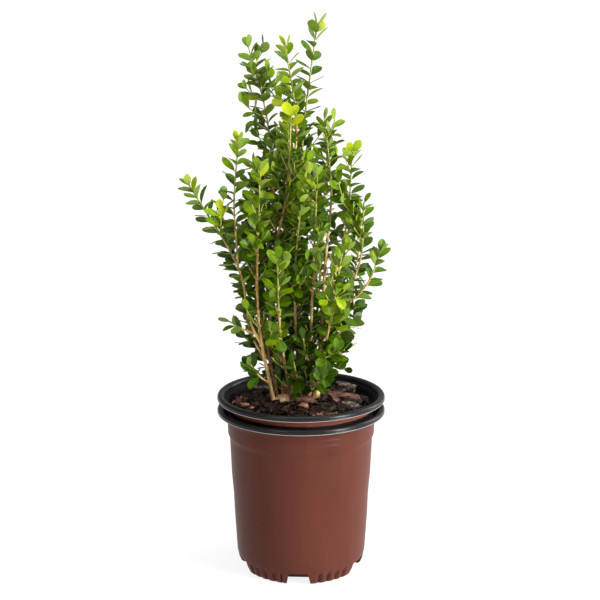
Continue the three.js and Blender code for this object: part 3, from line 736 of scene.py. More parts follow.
def limb_tree():
    """Tubes along a net of edges, as thick as its attribute girth, with furrowed bark."""
    tree, given = new_tree("limb_tubes", {
        "Sides": "NodeSocketInt", "Relief": "NodeSocketFloat", "Furrows": "NodeSocketFloat",
        "Bark": "NodeSocketMaterial",
    })
    curve = add(tree, "GeometryNodeMeshToCurve", {"Mesh": given["Geometry"]})[0]
    ring = add(tree, "GeometryNodeCurvePrimitiveCircle", {"Resolution": given["Sides"], "Radius": 1.0})[0]
    tube = add(tree, "GeometryNodeCurveToMesh", {
        "Curve": curve, "Profile Curve": ring, "Scale": named(tree, "girth", "FLOAT"), "Fill Caps": True,
    })[0]
    place = add(tree, "GeometryNodeInputPosition")[0]
    drawn = add(tree, "ShaderNodeVectorMath", {0: place, 1: (1, 1, 0.3)}, operation="MULTIPLY")[0]
    rough = add(tree, "ShaderNodeTexNoise", {
        "Vector": drawn, "Scale": given["Furrows"], "Detail": 4.0, "Roughness": 0.6,
    })[0]
    centred = add(tree, "ShaderNodeMath", {0: rough, 1: 0.55}, operation="SUBTRACT")[0]
    depth = add(tree, "ShaderNodeMath", {0: centred, 1: given["Relief"]}, operation="MULTIPLY")[0]
    deeper = add(tree, "ShaderNodeMath", {0: depth, 1: 3.0}, operation="MULTIPLY")[0]
    normal = add(tree, "GeometryNodeInputNormal")[0]
    push = add(tree, "ShaderNodeVectorMath", {0: normal, "Scale": deeper}, operation="SCALE")[0]
    bark = add(tree, "GeometryNodeSetPosition", {"Geometry": tube, "Offset": push})[0]
    soft = add(tree, "GeometryNodeSetShadeSmooth", {"Geometry": bark})[0]
    real = add(tree, "GeometryNodeRealizeInstances", {"Geometry": soft})[0]
    painted = add(tree, "GeometryNodeSetMaterial", {"Geometry": real, "Material": given["Bark"]})[0]
    return give_out(tree, painted)


def scatter_tree(name, kinds, finishes):
    """One of the kinds at every point, turned and sized by the point's attributes, and painted.

    A finish has the name of its input and the attribute of the faces it is for, or None for all of them.
    """
    tree, given = new_tree(name, {
        **{kind: "NodeSocketObject" for kind in kinds},
        **{label: "NodeSocketMaterial" for label, _ in finishes},
    })
    choice = tree.nodes.new("GeometryNodeJoinGeometry")
    for kind in kinds:
        source = add(tree, "GeometryNodeObjectInfo", {"Object": given[kind], "As Instance": True})
        tree.links.new(source["Geometry"], choice.inputs[0])
    turn = add(tree, "FunctionNodeEulerToRotation", {0: named(tree, "turn", "FLOAT_VECTOR")})[0]
    placed = add(tree, "GeometryNodeInstanceOnPoints", {
        "Points": given["Geometry"],
        "Instance": choice.outputs[0],
        "Pick Instance": True,
        "Instance Index": named(tree, "kind", "INT"),
        "Rotation": turn,
        "Scale": named(tree, "size", "FLOAT_VECTOR"),
    })[0]
    made = add(tree, "GeometryNodeRealizeInstances", {"Geometry": placed})[0]
    for label, faces in finishes:
        paint = {"Geometry": made, "Material": given[label]}
        if faces:
            paint["Selection"] = named(tree, faces, "BOOLEAN")
        made = add(tree, "GeometryNodeSetMaterial", paint)[0]
    return give_out(tree, made)


def points_object(name, rows):
    """Loose points that carry a turn, a size and a kind; a row is place, turn, size and kind."""
    mesh = bpy.data.meshes.new(name)
    mesh.from_pydata([row[0] for row in rows], [], [])
    for column, label in ((1, "turn"), (2, "size")):
        values = [value for row in rows for value in row[column]]
        mesh.attributes.new(label, "FLOAT_VECTOR", "POINT").data.foreach_set("vector", values)
    mesh.attributes.new("kind", "INT", "POINT").data.foreach_set("value", [row[3] for row in rows])
    return mesh_object(name, mesh)


def path_object(name, paths):
    """Chains of edges that carry a girth; a path is a list of places with their radii."""
    places, edges, girths = [], [], []
    for path in paths:
        first = len(places)
        places.extend(place for place, _ in path)
        girths.extend(radius for _, radius in path)
        edges.extend((first + i, first + i + 1) for i in range(len(path) - 1))
    mesh = bpy.data.meshes.new(name)
    mesh.from_pydata(places, edges, [])
    mesh.attributes.new("girth", "FLOAT", "POINT").data.foreach_set("value", girths)
    return mesh_object(name, mesh)


# Routes of stems and twigs, in metres

class Route:
    """A smooth path through a few points, measured along its own length."""

    SAMPLES = 24

    def __init__(self, points):
        ends = [points[0] * 2 - points[1], *points, points[-1] * 2 - points[-2]]
        self.places = [points[0]]
        for i in range(1, len(ends) - 2):
            self.places.extend(self.stretch(*ends[i - 1:i + 3]))
        self.marks = [0.0]
        for before, after in zip(self.places, self.places[1:]):
            self.marks.append(self.marks[-1] + (after - before).length)
        self.length = self.marks[-1]

    @classmethod
    def stretch(cls, p0, p1, p2, p3):
        """The stretch from p1 to p2 of a centripetal curve through four points."""
        d0, d1, d2 = (max((b - a).length, 1e-6) ** 0.5 for a, b in ((p0, p1), (p1, p2), (p2, p3)))
        t1 = ((p1 - p0) / d0 - (p2 - p0) / (d0 + d1) + (p2 - p1) / d1) * d1
        t2 = ((p2 - p1) / d1 - (p3 - p1) / (d1 + d2) + (p3 - p2) / d2) * d1
        places = []
        for step in range(1, cls.SAMPLES + 1):
            t = step / cls.SAMPLES
            cubic = (2 * p1 - 2 * p2 + t1 + t2) * t ** 3 + (3 * p2 - 3 * p1 - 2 * t1 - t2) * t ** 2
            places.append(cubic + t1 * t + p1)
        return places

    def point(self, fraction):
        distance = clamp(fraction) * self.length
        low = bisect_right(self.marks, distance, 1, len(self.marks) - 1) - 1
        part = (distance - self.marks[low]) / max(self.marks[low + 1] - self.marks[low], 1e-9)
        return self.places[low].lerp(self.places[low + 1], part)

    def at_height(self, height):
        """The fraction of the path at which it reaches a height."""
        low, high = 0.0, 1.0
        for _ in range(24):
            middle = (low + high) / 2
            if self.point(middle).z < height:
                low = middle
            else:
                high = middle
        return low

    def square(self, fraction):
        """The tangent, and two directions square to it that don't spin as the path climbs."""
        tangent = (self.point(fraction + 0.01) - self.point(fraction - 0.01)).normalized()
        whole = self.point(1) - self.point(0)
        reference = Vector((1, 0, 0)) if abs(whole.x) < abs(whole.y) else Vector((0, 1, 0))
        side = (reference - tangent * reference.dot(tangent)).normalized()
        return tangent, side, side.cross(tangent)


# The crown's rule: stems, then side twigs, then pairs of leaves

class Shoot:
    """One limb that may carry leaves: its route, its thickness, and how fresh it is."""

    def __init__(self, mass, route, start, radius_at, tone, leafy=True, turn=0.0, order=0, reach=None):
        self.mass = mass
        self.route = route
        self.start = start
        self.radius_at = radius_at
        self.tone = tone
        self.leafy = leafy
        self.turn = turn
        self.order = order
        self.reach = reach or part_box(f"foliage_{mass}")

    def nodes(self, spacing, lower):
        """Where pairs stand, closer together towards the tip, from so much lower than the start."""
        start = max(0.0, self.start - lower / self.route.length)
        count = max(2, round(self.route.length * (1 - start) / spacing))
        parts = ((i + 0.55) / (count - 0.25) for i in range(count))
        return [start + (1 - start) * min(1.0, part ** 0.93) for part in parts]

    def leaf_nodes(self, spacing):
        return self.nodes(spacing * NODE_SPACING[self.order], LOW_LEAVES * MM)


class Crowd:
    """Remembers where wood and leaves are, so that new ones can keep clear of them."""

    CELL = 6 * MM

    def __init__(self):
        self.cells = {}

    def cell(self, place):
        return tuple(int(math.floor(value / self.CELL)) for value in place)

    def add(self, places, owner):
        for place in places:
            self.cells.setdefault(self.cell(place), []).append((place.copy(), owner))

    def near(self, places, distance, owner):
        """Whether anything of another owner lies nearer than the distance to one of the places."""
        around = [(i, j, k) for i in (-1, 0, 1) for j in (-1, 0, 1) for k in (-1, 0, 1)]
        for place in places:
            x, y, z = self.cell(place)
            for i, j, k in around:
                for other, other_owner in self.cells.get((x + i, y + j, z + k), ()):
                    if other_owner != owner and (other - place).length < distance:
                        return True
        return False


def inside(place, reach, margin):
    low, high = reach
    return all(low[i] + margin <= place[i] <= high[i] - margin for i in range(3))


def stem_radius(row, length):
    base = SLIMNESS * row["girth"] / 2
    spread = 0 if "parent" in row else FLARE_RADIUS
    reach = FLARE_REACH * MM

    def radius_at(fraction):
        thick = base + (TIP_RADIUS - base) * fraction ** 0.85
        return (thick + spread * math.exp(-fraction * length / reach)) * MM

    return radius_at


def plain_radius(base, tip=TIP_RADIUS):
    return lambda fraction: (base + (tip - base) * fraction) * MM


@functools.lru_cache(maxsize=None)
def stem_routes():
    """The route of every stem by its name."""
    routes = {}
    for row in STEMS:
        if "parent" in row:
            parent = routes[row["parent"]]
            foot = parent.point(parent.at_height(row["at"] * MM))
        else:
            foot = metres((*row["foot"], SOIL_TOP - 3))
        routes[row["name"]] = Route([foot, *map(metres, row["bends"]), metres(row["tip"])])
    return routes


def slantwise(rng):
    """The first turn of a leader's pairs: they stand slantwise to the front and to the sides."""
    return math.pi / 4 + rng.uniform(-0.3, 0.3)


def aside(foot, reach, bearing, rise):
    """The place that lies so far from a foot in a direction, and so much higher."""
    return foot + metres((reach * math.cos(bearing), reach * math.sin(bearing), rise))


def main_shoots():
    """The leaders, their forks and the low side shoots, as the part's source has them."""
    rng = random.Random(3)
    routes = stem_routes()
    shoots = []
    for row in STEMS:
        name = row["name"]
        route = routes[name]
        radius_at = stem_radius(row, route.length)
        tone = BACK_TONE + FRONT_GAIN * clamp(0.5 - route.point(1).y / (CROWN_DEPTH * MM))
        start = route.at_height(row["bare"] * MM)
        shoots.append(Shoot(name, route, start, radius_at, tone, turn=slantwise(rng)))
        for at, bends, tip in row.get("forks", ()):
            foot = route.at_height(at * MM)
            path = Route([route.point(foot), *map(metres, bends), metres(tip)])
            radius = plain_radius(radius_at(foot) / MM * FORK_GIRTH)
            shoots.append(Shoot(name, path, 0, radius, tone, turn=slantwise(rng)))
    for name, parent, at, bearing, reach, rise in LOW_SHOOTS:
        foot = routes[parent].point(routes[parent].at_height(at * MM))
        tip = aside(foot, reach, math.radians(bearing), rise)
        path = Route([foot, foot.lerp(tip, 0.5) - metres((0, 0, rise * LOW_SAG)), tip])
        leafy = name not in BARE_SHOOTS
        turn = rng.uniform(0, math.pi)
        shoots.append(Shoot(name, path, 0, plain_radius(LOW_RADIUS), LOW_TONE, leafy, turn))
    for row in STEMS:
        shoots.extend(basal_sprigs(row, routes[row["name"]], rng))
    return shoots


def basal_sprigs(row, route, rng):
    """Short leafy sprigs up a stem below its foliage, on one side and the other by turns."""
    lowest = max(SPRIG_HEIGHTS[0], row.get("at", 0) + 6, BARE_BELOW.get(row["name"], 0))
    height = lowest + rng.uniform(0, SPRIG_STEP / 2)
    outward = math.atan2(route.point(1).y - 4 * MM, route.point(1).x)
    side = 1
    while height < min(row["bare"] + 6, SPRIG_HEIGHTS[1]):
        foot = route.point(route.at_height(height * MM))
        bearing = outward + side * rng.uniform(0.1, 1.5)
        tip = aside(foot, rng.uniform(*SPRIG_REACH), bearing, rng.uniform(*SPRIG_RISE))
        path = Route([foot, foot.lerp(tip, 0.5) - metres((0, 0, SPRIG_SAG)), tip])
        room = (foot - metres(SPRIG_ROOM), foot + metres(SPRIG_ROOM))
        turn = rng.uniform(0, math.pi)
        yield Shoot("basal", path, 0, plain_radius(*SPRIG_RADII), SPRIG_TONE, True, turn, 1, room)
        height += SPRIG_STEP * rng.uniform(0.8, 1.3)
        side = -side


def side_twigs(shoots, rng, crowd, order, length, chance, leafy=True):
    """Side twigs stand at a shoot's nodes where there is room for them inside the mass's reach."""
    made = []
    for shoot in shoots:
        for i, node in enumerate(shoot.nodes(SIDE_SPACING * MM, LOW_TWIGS * MM)[:-2]):
            foot = shoot.route.point(node)
            fullness = chance * (1 - THINNED * smooth_step(foot.z / MM, THIN_FROM, THIN_TO))
            tangent, side, across = shoot.route.square(node)
            for half in (0, math.pi):
                if rng.random() > fullness * SPARSE.get(shoot.mass, 1):
                    continue
                turn = shoot.turn + i * math.pi / 2 + half + rng.uniform(-0.5, 0.5)
                outward = side * math.cos(turn) + across * math.sin(turn)
                reach = length * MM * rng.uniform(*SIDE_RANGE) * (1 - SIDE_SHORTENING * node)
                lean = math.radians(rng.uniform(*SIDE_LEAN))
                tip = foot + outward * reach * math.sin(lean) + tangent * reach * math.cos(lean)
                if not inside(tip, shoot.reach, TWIG_MARGIN * MM):
                    continue
                path = Route([foot, foot.lerp(tip, 0.5) + outward * reach * SIDE_BEND, tip])
                owner = (shoot.mass, len(shoots) + len(made), order, leafy)
                samples = [path.point(step / 6) for step in range(2, 7)]
                if crowd.near(samples, TWIG_CLEARANCE * MM, owner):
                    continue
                crowd.add(samples, owner)
                thickest, thinnest = SIDE_RADII
                girth = min(thickest, shoot.radius_at(node) / MM * SIDE_GIRTH)
                radius_at = plain_radius(girth, thinnest)
                tone = shoot.tone + rng.uniform(-TONE_DRIFT, TONE_DRIFT)
                turn = rng.uniform(0, math.pi)
                made.append(Shoot(shoot.mass, path, 0, radius_at, tone, leafy, turn, order, shoot.reach))
    return made


@functools.lru_cache(maxsize=None)
def crown(seed):
    """Every shoot of the crown, and the crowd of its wood."""
    rng = random.Random(seed)
    crowd = Crowd()
    mains = main_shoots()
    for i, shoot in enumerate(mains):
        steps = max(2, int(shoot.route.length / (3 * MM)))
        crowd.add([shoot.route.point(step / steps) for step in range(steps + 1)], (shoot.mass, i, 0))
    bare = [shoot for shoot in mains if not shoot.leafy]
    leafy = [shoot for shoot in mains if shoot.leafy and shoot.mass != "basal"]
    spurs = side_twigs(bare, rng, crowd, 1, SPUR_LENGTH, 1.0, leafy=False)
    sides = side_twigs(leafy, rng, crowd, 1, SIDE_LENGTH, 1.0)
    fines = side_twigs(sides, rng, crowd, 2, FINE_LENGTH, FINE_CHANCE)
    return mains + spurs + sides + fines, crowd


@functools.lru_cache(maxsize=None)
def shown_places():
    """Places on the stems that are to show, a few millimetres from one to the next."""
    places = []
    for name, (low, high) in SHOWN_STEMS.items():
        route = stem_routes()[name]
        places.extend(route.point(route.at_height(height * MM)) for height in range(low, high, SHOWN_STEP))
    return places


def hides_stem(leaf):
    """Whether a leaf stands, for the viewer in front, before a stem that is to show."""
    for place in shown_places():
        for spot in leaf:
            drop = (spot.z - place.z) + VIEW_SLOPE * (spot.y - place.y)
            beside = abs(spot.x - place.x)
            if spot.y < place.y and beside < SHOWN_HALF * MM and abs(drop) < SHOWN_STEP * MM:
                return True
    return False


def leaf_turn(along, tangent):
    """The turn that lays a leaf's length along its direction and its upper face towards the tip."""
    face = (tangent - along * tangent.dot(along)).normalized()
    return Matrix((along.cross(face), along, face)).transposed()


def leaf_rows(shoots, crowd, length, spacing, seed):
    """Pairs of leaves at the nodes of every shoot, each pair a quarter turn from the last, by tone."""
    rng = random.Random(seed + 1)
    leaves = Crowd()
    rows = {tone: [] for tone in TONES}
    for number, shoot in enumerate(shoots):
        nodes = shoot.leaf_nodes(spacing) if shoot.leafy else []
        yellow_leader = shoot.mass in YELLOW_TIPS and shoot.order == 0 and shoot.start > 0
        for i, fraction in enumerate(nodes):
            pairs_above = len(nodes) - 1 - i
            stage = 0 if pairs_above > 2 else 1 if pairs_above else 2
            lit = yellow_leader and pairs_above < FRONT_PAIRS[shoot.mass]
            tangent, side, across = shoot.route.square(min(fraction, 0.99))
            foot = shoot.route.point(fraction)
            for half in (0, math.pi):
                angle = math.radians(rng.uniform(*LEAF_SPREADS[stage]))
                turn = shoot.turn + i * math.pi / 2 + half + rng.uniform(-PAIR_DRIFT, PAIR_DRIFT)
                outward = side * math.cos(turn) + across * math.sin(turn)
                along = (tangent * math.cos(angle) + outward * math.sin(angle)).normalized()
                scale = rng.uniform(*LEAF_RANGE) * LEAF_SIZES[stage] * (SIDE_LEAVES if shoot.order else 1)
                reach = [foot + along * length * scale * part for part in LEAF_TESTS]
                if not inside(reach[2], shoot.reach, -LEAF_OVERHANG * MM):
                    continue
                if crowd.near(reach, WOOD_CLEARANCE * MM, (shoot.mass, number, shoot.order)):
                    continue
                if leaves.near(reach, LEAF_CLEARANCE * MM, (number, i)):
                    continue
                leaves.add(reach, (number, i))
                roll = Matrix.Rotation(rng.uniform(-LEAF_ROLL, LEAF_ROLL), 3, "Y")
                stretch = rng.uniform(*LEAF_STRETCH)
                level = leaf_level(shoot, stage > 0, reach[2], rng)
                if yellow_leader and stage > 0:
                    level = YELLOW_TIPS[shoot.mass]
                kind = rng.randrange(len(LEAF_KINDS))
                if hides_stem(reach):
                    continue
                matrix = leaf_turn(along, TO_THE_LIGHT if lit else tangent) @ roll
                start = foot + along * shoot.radius_at(fraction) * 0.6
                size = (scale * stretch, scale, scale)
                tone = TONES[int(clamp(round(level), 0, len(TONES) - 1))]
                rows[tone].append((start, matrix.to_euler("XYZ"), size, kind))
    return rows


def leaf_level(shoot, near_tip, tip, rng):
    """The tone of one leaf as a number: darker inside and low down, fresher at the tips."""
    low, high = UPPER_CROWN
    depth = clamp(1 - math.hypot(tip.x, tip.y) / (SHADED_WITHIN * MM))
    height = clamp((tip.z / MM - low) / (high - low))
    level = shoot.tone + HEIGHT_GAIN * height - SHADE_LOSS * depth * (1 - height)
    level += rng.uniform(-TONE_SPREAD, TONE_SPREAD)
    if near_tip and height > FRESH_ABOVE:
        level += FRESH_GAIN
    if rng.random() < ODD_YELLOW and height > FRESH_ABOVE:
        level = len(TONES) - 1
    return level


def leaf_shape(name, length, width, fold, droop, cup):
    """A closed leaf that points along +Y with its upper face up: blade, midrib and keeled underside."""
    shape = bmesh.new()
    under = shape.faces.layers.bool.new("under")
    rib = shape.faces.layers.bool.new("rib")
    rows = []
    for along, broad in LEAF_STATIONS:
        y = along * length
        sag = -droop * length * along ** 2
        rib_edge = RIB_HALF / max(broad, 0.15)
        row = []
        for part in (-1, -LEAF_COLUMN, -rib_edge, rib_edge, LEAF_COLUMN, 1):
            x = part * broad * width / 2
            rise = abs(part) * broad * fold * width / 2 - cup * width * broad * part ** 4
            groove = GROOVE * MM if abs(part) < LEAF_COLUMN else 0
            row.append(shape.verts.new((x, y, sag + rise - groove)))
        keel = shape.verts.new((0, y, sag - (LEAF_THICKNESS + 0.2 * (1 - along)) * MM))
        rows.append((row, keel))
    tip = shape.verts.new((0, length, -droop * length * 1.04))
    for (row, keel), (next_row, next_keel) in zip(rows, rows[1:]):
        for i in range(5):
            shape.faces.new((row[i], row[i + 1], next_row[i + 1], next_row[i]))[rib] = i == 2
        shape.faces.new((row[0], next_row[0], next_keel, keel))[under] = True
        shape.faces.new((keel, next_keel, next_row[5], row[5]))[under] = True
    row, keel = rows[-1]
    for i in range(5):
        shape.faces.new((row[i], row[i + 1], tip))[rib] = i == 2
    shape.faces.new((row[0], tip, keel))[under] = True
    shape.faces.new((keel, tip, row[5]))[under] = True
    row, keel = rows[0]
    shape.faces.new((*reversed(row), keel))
    for edge in shape.edges:
        edge.smooth = len({face[under] for face in edge.link_faces}) == 1
    return solid(name, shape)


class BOXWOOD_OT_leaves(bpy.types.Operator):
    """Leaves in opposite pairs on every shoot, one piece for each tone"""

    bl_idname = "boxwood.leaves"
    bl_label = "Leaves"

    def execute(self, context):
        settings = context.scene.boxwood.leaf
        shoots, crowd = crown(settings.seed)
        rows = leaf_rows(shoots, crowd, settings.length, settings.spacing, settings.seed)
        kinds = {
            name: leaf_shape(name, settings.length, settings.width, *form) for name, *form in LEAF_KINDS
        }
        tree = scatter_tree("leaf_pairs", kinds, [("Upper", None), ("Under", "under"), ("Rib", "rib")])
        for tone in TONES:
            values = {**leaf_materials(tone), **kinds}
            piece = run_tree(points_object("leaf_feet", rows[tone]), tree, values, f"leaves_{tone}")
            stands(piece, "yellow_leaf" if tone in ("young", "yellow") else "green_leaf", FOLIAGE)
        for kind in kinds.values():
            bpy.data.objects.remove(kind)
        return {"FINISHED"}


# Twigs and stems

def limb_path(route, start, end, radius_at, step, nodes):
    """Places along a stretch of a route with their radii, a little thicker at each pair of leaves."""
    count = max(2, int(route.length * (end - start) / step))
    path = []
    for i in range(count + 1):
        fraction = start + (end - start) * i / count
        nearest = min((abs(fraction - node) for node in nodes), default=1) * route.length
        swelling = 1 + SWELLING * math.exp(-((nearest / (SWELLING_LENGTH * MM)) ** 2))
        path.append((route.point(fraction), radius_at(fraction) * swelling))
    return path


class BOXWOOD_OT_twigs(bpy.types.Operator):
    """Twigs inside the foliage: older tan wood, and smooth green shoots towards the tips"""

    bl_idname = "boxwood.twigs"
    bl_label = "Twigs"

    def execute(self, context):
        settings = context.scene.boxwood
        shoots, _ = crown(settings.leaf.seed)
        old, young = [], []
        for shoot in shoots:
            nodes = shoot.leaf_nodes(settings.leaf.spacing)
            overlap = TWIG_OVERLAP * MM / shoot.route.length
            start = max(0, shoot.start - overlap)
            turn = shoot.start + (1 - shoot.start) * YOUNG_FROM[shoot.order]
            end = turn if shoot.leafy else 1.0
            step = TWIG_STEPS[shoot.order] * MM
            old.append(limb_path(shoot.route, start, end, shoot.radius_at, step, nodes))
            if shoot.leafy:
                young.append(limb_path(shoot.route, end - overlap, 1.0, shoot.radius_at, step, nodes))
        tree = limb_tree()
        for paths, (name, (sides, relief, bark, slot)) in zip((old, young), TWIG_PIECES.items()):
            values = {"Sides": sides, "Relief": relief * MM, "Furrows": TWIG_FURROWS, "Bark": grained(bark)}
            stands(run_tree(path_object("paths", paths), tree, values, name), slot, FOLIAGE)
        return {"FINISHED"}


class BOXWOOD_OT_stems(bpy.types.Operator):
    """Bare stems with furrowed, peeling bark, each from its foot to its foliage"""

    bl_idname = "boxwood.stems"
    bl_label = "Stems"

    def execute(self, context):
        settings = context.scene.boxwood.stem
        tree = limb_tree()
        pale = grained("pale_bark", settings.pale)
        brown = grained("brown_bark", settings.brown)
        shaded = grained("shaded_bark")
        finishes = {name: shaded for name in SHADED_STEMS} | {name: brown for name in REDDISH_STEMS}
        for row in STEMS:
            name = row["name"]
            route = stem_routes()[name]
            end = route.at_height(row["bare"] * MM)
            knots = [i * STEM_KNOTS * MM / route.length for i in range(1, 12)]
            path = limb_path(route, 0, end, stem_radius(row, route.length), STEM_STEP * MM, knots)
            piece = run_tree(path_object("path", [path]), tree, {
                "Sides": settings.sides,
                "Relief": settings.relief * (1.0 if row["girth"] > 4 else 0.6),
                "Furrows": STEM_FURROWS,
                "Bark": finishes.get(name, pale),
            }, f"bark_{name}")
            stands(piece, "brown_bark" if name == "brown" else "pale_bark", [f"stem_{name}"])
        return {"FINISHED"}


class BOXWOOD_OT_root_crown(bpy.types.Operator):
    """Knobby burl that most of the stems rise from"""

    bl_idname = "boxwood.root_crown"
    bl_label = "Root crown"

    def execute(self, context):
        shape = bmesh.new()
        for at, size in CROWN_LUMPS:
            add_ball(shape, (*at, SOIL_TOP - 1), size)
        lumps = from_bmesh("lumps", shape)
        remesh = lumps.modifiers.new("remesh", "REMESH")
        remesh.mode = "VOXEL"
        remesh.voxel_size = CROWN_VOXEL * MM
        remesh.use_smooth_shade = True
        burl = evaluated_copy(lumps, "root_crown_burl")
        knob_scale, knob_rise = KNOBS
        furrow_scale, furrow_depth = CROWN_FURROWS
        for vertex in burl.data.vertices:
            place = vertex.co.copy()
            drawn = Vector((place.x, place.y, place.z * 0.3))
            knobs = noise.fractal(place * knob_scale, 0.8, 2.1, 4) * knob_rise
            furrows = noise.fractal(drawn * furrow_scale, 0.8, 2, 3) * furrow_depth
            vertex.co = place + vertex.normal * (knobs + furrows) * MM
            vertex.co.z = max(vertex.co.z, (SOIL_TOP - 6) * MM)
        stands(burl, "pale_bark", ["root_crown"], grained("burl_bark"))
        return {"FINISHED"}


# Pots

def wall_radius(height):
    """Radius of the outer face of a pot's wall at a height above its own foot."""
    for (low, start), (high, end) in zip(WALL_MARKS, WALL_MARKS[1:]):
        if height <= high:
            return start + (end - start) * clamp((height - low) / (high - low))
    return WALL_MARKS[-1][1]


def by_notch(angle, height):
    """Whether a place is in a notch or close beside it, where the flutes leave off."""
    if height >= NOTCH_HEIGHT + NOTCH_MARGIN:
        return False
    aways = (abs(wrapped(angle - turn)) * math.radians(FOOT_RADIUS) - width / 2 for turn, width in NOTCHES)
    return min(aways) < NOTCH_MARGIN


def relief_at(angle, height, flute_depth):
    """Flutes round the foot, two short ridges on the band and a slight waviness of the thin wall."""
    offset = 0.0
    if height < FLUTE_TOP and not by_notch(angle, height):
        valley = (0.5 + 0.5 * math.cos(math.radians(angle * FLUTES))) ** FLUTE_NARROWNESS
        window = (0.4 + 0.6 * smooth_step(height, *FLUTE_FOOT)) * (1 - smooth_step(height, *FLUTE_FADE))
        offset -= flute_depth * valley * window
    centre = wrapped(angle - RIDGE_TURN)
    window = smooth_step(centre, *RIDGE_START) * (1 - smooth_step(centre, *RIDGE_END))
    for ridge in RIDGES:
        offset += RIDGE_RISE * window * math.exp(-(((height - ridge) / RIDGE_BREADTH) ** 2))
    turn = math.radians(angle)
    sway = noise.noise(Vector((math.cos(turn), math.sin(turn), height / WAVE_HEIGHT)))
    return offset + WAVINESS * sway * smooth_step(height, *WAVY_FROM)


def revolve(name, profile, offset_at=None):
    """Turns a profile of radius and height about the axis; both its ends lie on the axis or it closes."""
    shape = bmesh.new()
    rings = []
    for radius, height in profile:
        ring = []
        for i in range(POT_SEGMENTS if radius else 1):
            bearing = 360 * i / POT_SEGMENTS
            turn = math.radians(bearing)
            offset = offset_at(wrapped(bearing + 90), height) if offset_at and radius else 0
            away = (radius + offset) * MM
            ring.append(shape.verts.new((away * math.cos(turn), away * math.sin(turn), height * MM)))
        rings.append(ring)
    bridge(shape, rings + rings[:1] if profile[0][0] else rings)
    return solid(name, shape)


def notch_block(turn, width, lift, grow):
    """A block with rounded upper corners that reaches in under the pot from its side."""
    half = width / 2 + grow
    top = NOTCH_HEIGHT + grow
    rounding = NOTCH_ROUNDING + grow
    outline = [(-half, -2.0), (half, -2.0)]
    for sign in (1, -1):
        x, z = sign * (half - NOTCH_SLOPE - rounding), top - rounding
        for step in range(7):
            bend = math.radians(15 * (step if sign > 0 else 6 - step))
            outline.append((x + sign * rounding * math.cos(bend), z + rounding * math.sin(bend)))
    inner = FOOT_RADIUS + 2 - NOTCH_DEPTH - grow
    outer = inner + NOTCH_DEPTH + 12 + grow
    shape = bmesh.new()
    near = [shape.verts.new((x * MM, -inner * MM, (z + lift) * MM)) for x, z in outline]
    far = [shape.verts.new((x * MM, -outer * MM, (z + lift) * MM)) for x, z in outline]
    shape.faces.new(near)
    shape.faces.new(far)
    bridge(shape, [near, far])
    matrix = Matrix.Rotation(math.radians(turn), 3, "Z")
    bmesh.ops.rotate(shape, cent=(0, 0, 0), matrix=matrix, verts=shape.verts)
    return solid("notch", shape, smooth=False)


def cut(body, tool):
    """The body cut by the tool; both are used up."""
    name = body.name
    modifier = body.modifiers.new("cut", "BOOLEAN")
    modifier.operation = "DIFFERENCE"
    modifier.solver = "MANIFOLD"
    modifier.object = tool
    made = evaluated_copy(body, name)
    bpy.data.objects.remove(tool)
    return made


def build_pot(name, lift, trim, wall, flute_depth):
    """A thin-walled pot with its drainage notches let into its foot, open at the top."""

    def offset_at(angle, height):
        return relief_at(angle, height - lift, flute_depth)

    outside = [(wall_radius(height) - trim, height + lift) for height in WALL_RINGS]
    full = revolve(name, [(0, lift), *outside, (0, lift + WALL_TOP)], offset_at)
    inside_wall = [(radius - wall, height) for radius, height in outside if height - lift > 5]
    floor = [(0, lift + wall), (wall_radius(2.4) - trim - wall, lift + wall)]
    mouth = [(wall_radius(WALL_TOP) - trim - wall, lift + 166), (0, lift + 166)]
    hollow = revolve("hollow", [*floor, *inside_wall, *mouth], offset_at)
    for turn, width in NOTCHES:
        hollow = cut(hollow, notch_block(turn, width, lift, wall))
    pot = cut(full, hollow)
    for turn, width in NOTCHES:
        pot = cut(pot, notch_block(turn, width, lift, 0))
    return pot


def paint_wall(pot, lift, trim, wall):
    """The second material on the inner face, on the wall's top, and as painted shade in a band on the inner
    pot's wall just above the outer pot's rim.
    """
    for face in pot.data.polygons:
        centre = face.center / MM
        height = centre.z - lift
        within = math.hypot(centre.x, centre.y) < wall_radius(height) - trim - wall / 2 - 0.3
        inner_face = within and height > NOTCH_HEIGHT + wall
        # Painted shade: the inner pot's wall is black for a band just above the outer pot's rim, in the gap
        # between the rims
        painted_gap_shade = lift and 0 < POT_HEIGHT - NEST_LIFT - height < GAP_SHADE_HEIGHT
        face.material_index = int(inner_face or painted_gap_shade or height > WALL_TOP - 0.5)
        face.use_smooth = True
    pot.data.set_sharp_from_angle(angle=math.radians(40))


def lip_profile(lift, trim):
    """A rolled rim: a rounded bead with a shallow groove round its outer face."""
    top = lift + POT_HEIGHT
    bottom = top - RIM_DEPTH
    outer = RIM_RADIUS
    inner = RIM_RADIUS - LIP_WIDTH - trim
    return [
        (inner + 0.2, top - 4.6), (inner + 0.1, top - 3.2), (inner + 0.7, top - 1.7),
        (inner + 1.9, top - 0.6), (inner + 3.4, top - 0.1), (outer - 2.6, top), (outer - 1.5, top - 0.4),
        (outer - 0.7, top - 1.1), (outer - 0.25, top - 1.9), (outer, top - 2.7), (outer, top - 3.3),
        (outer - 0.35, top - 3.7), (outer - 0.1, top - 4.1), (outer, bottom + 0.9),
        (outer - 0.3, bottom + 0.3), (outer - 0.9, bottom), (outer - 1.9, bottom + 0.1),
        (outer - 2.2, bottom + 0.8), (outer - 2.6, top - 3.4), (inner + 3.2, top - 2.4),
        (inner + 1.6, top - 3.4), (inner + 1.2, top - 4.8),
    ]


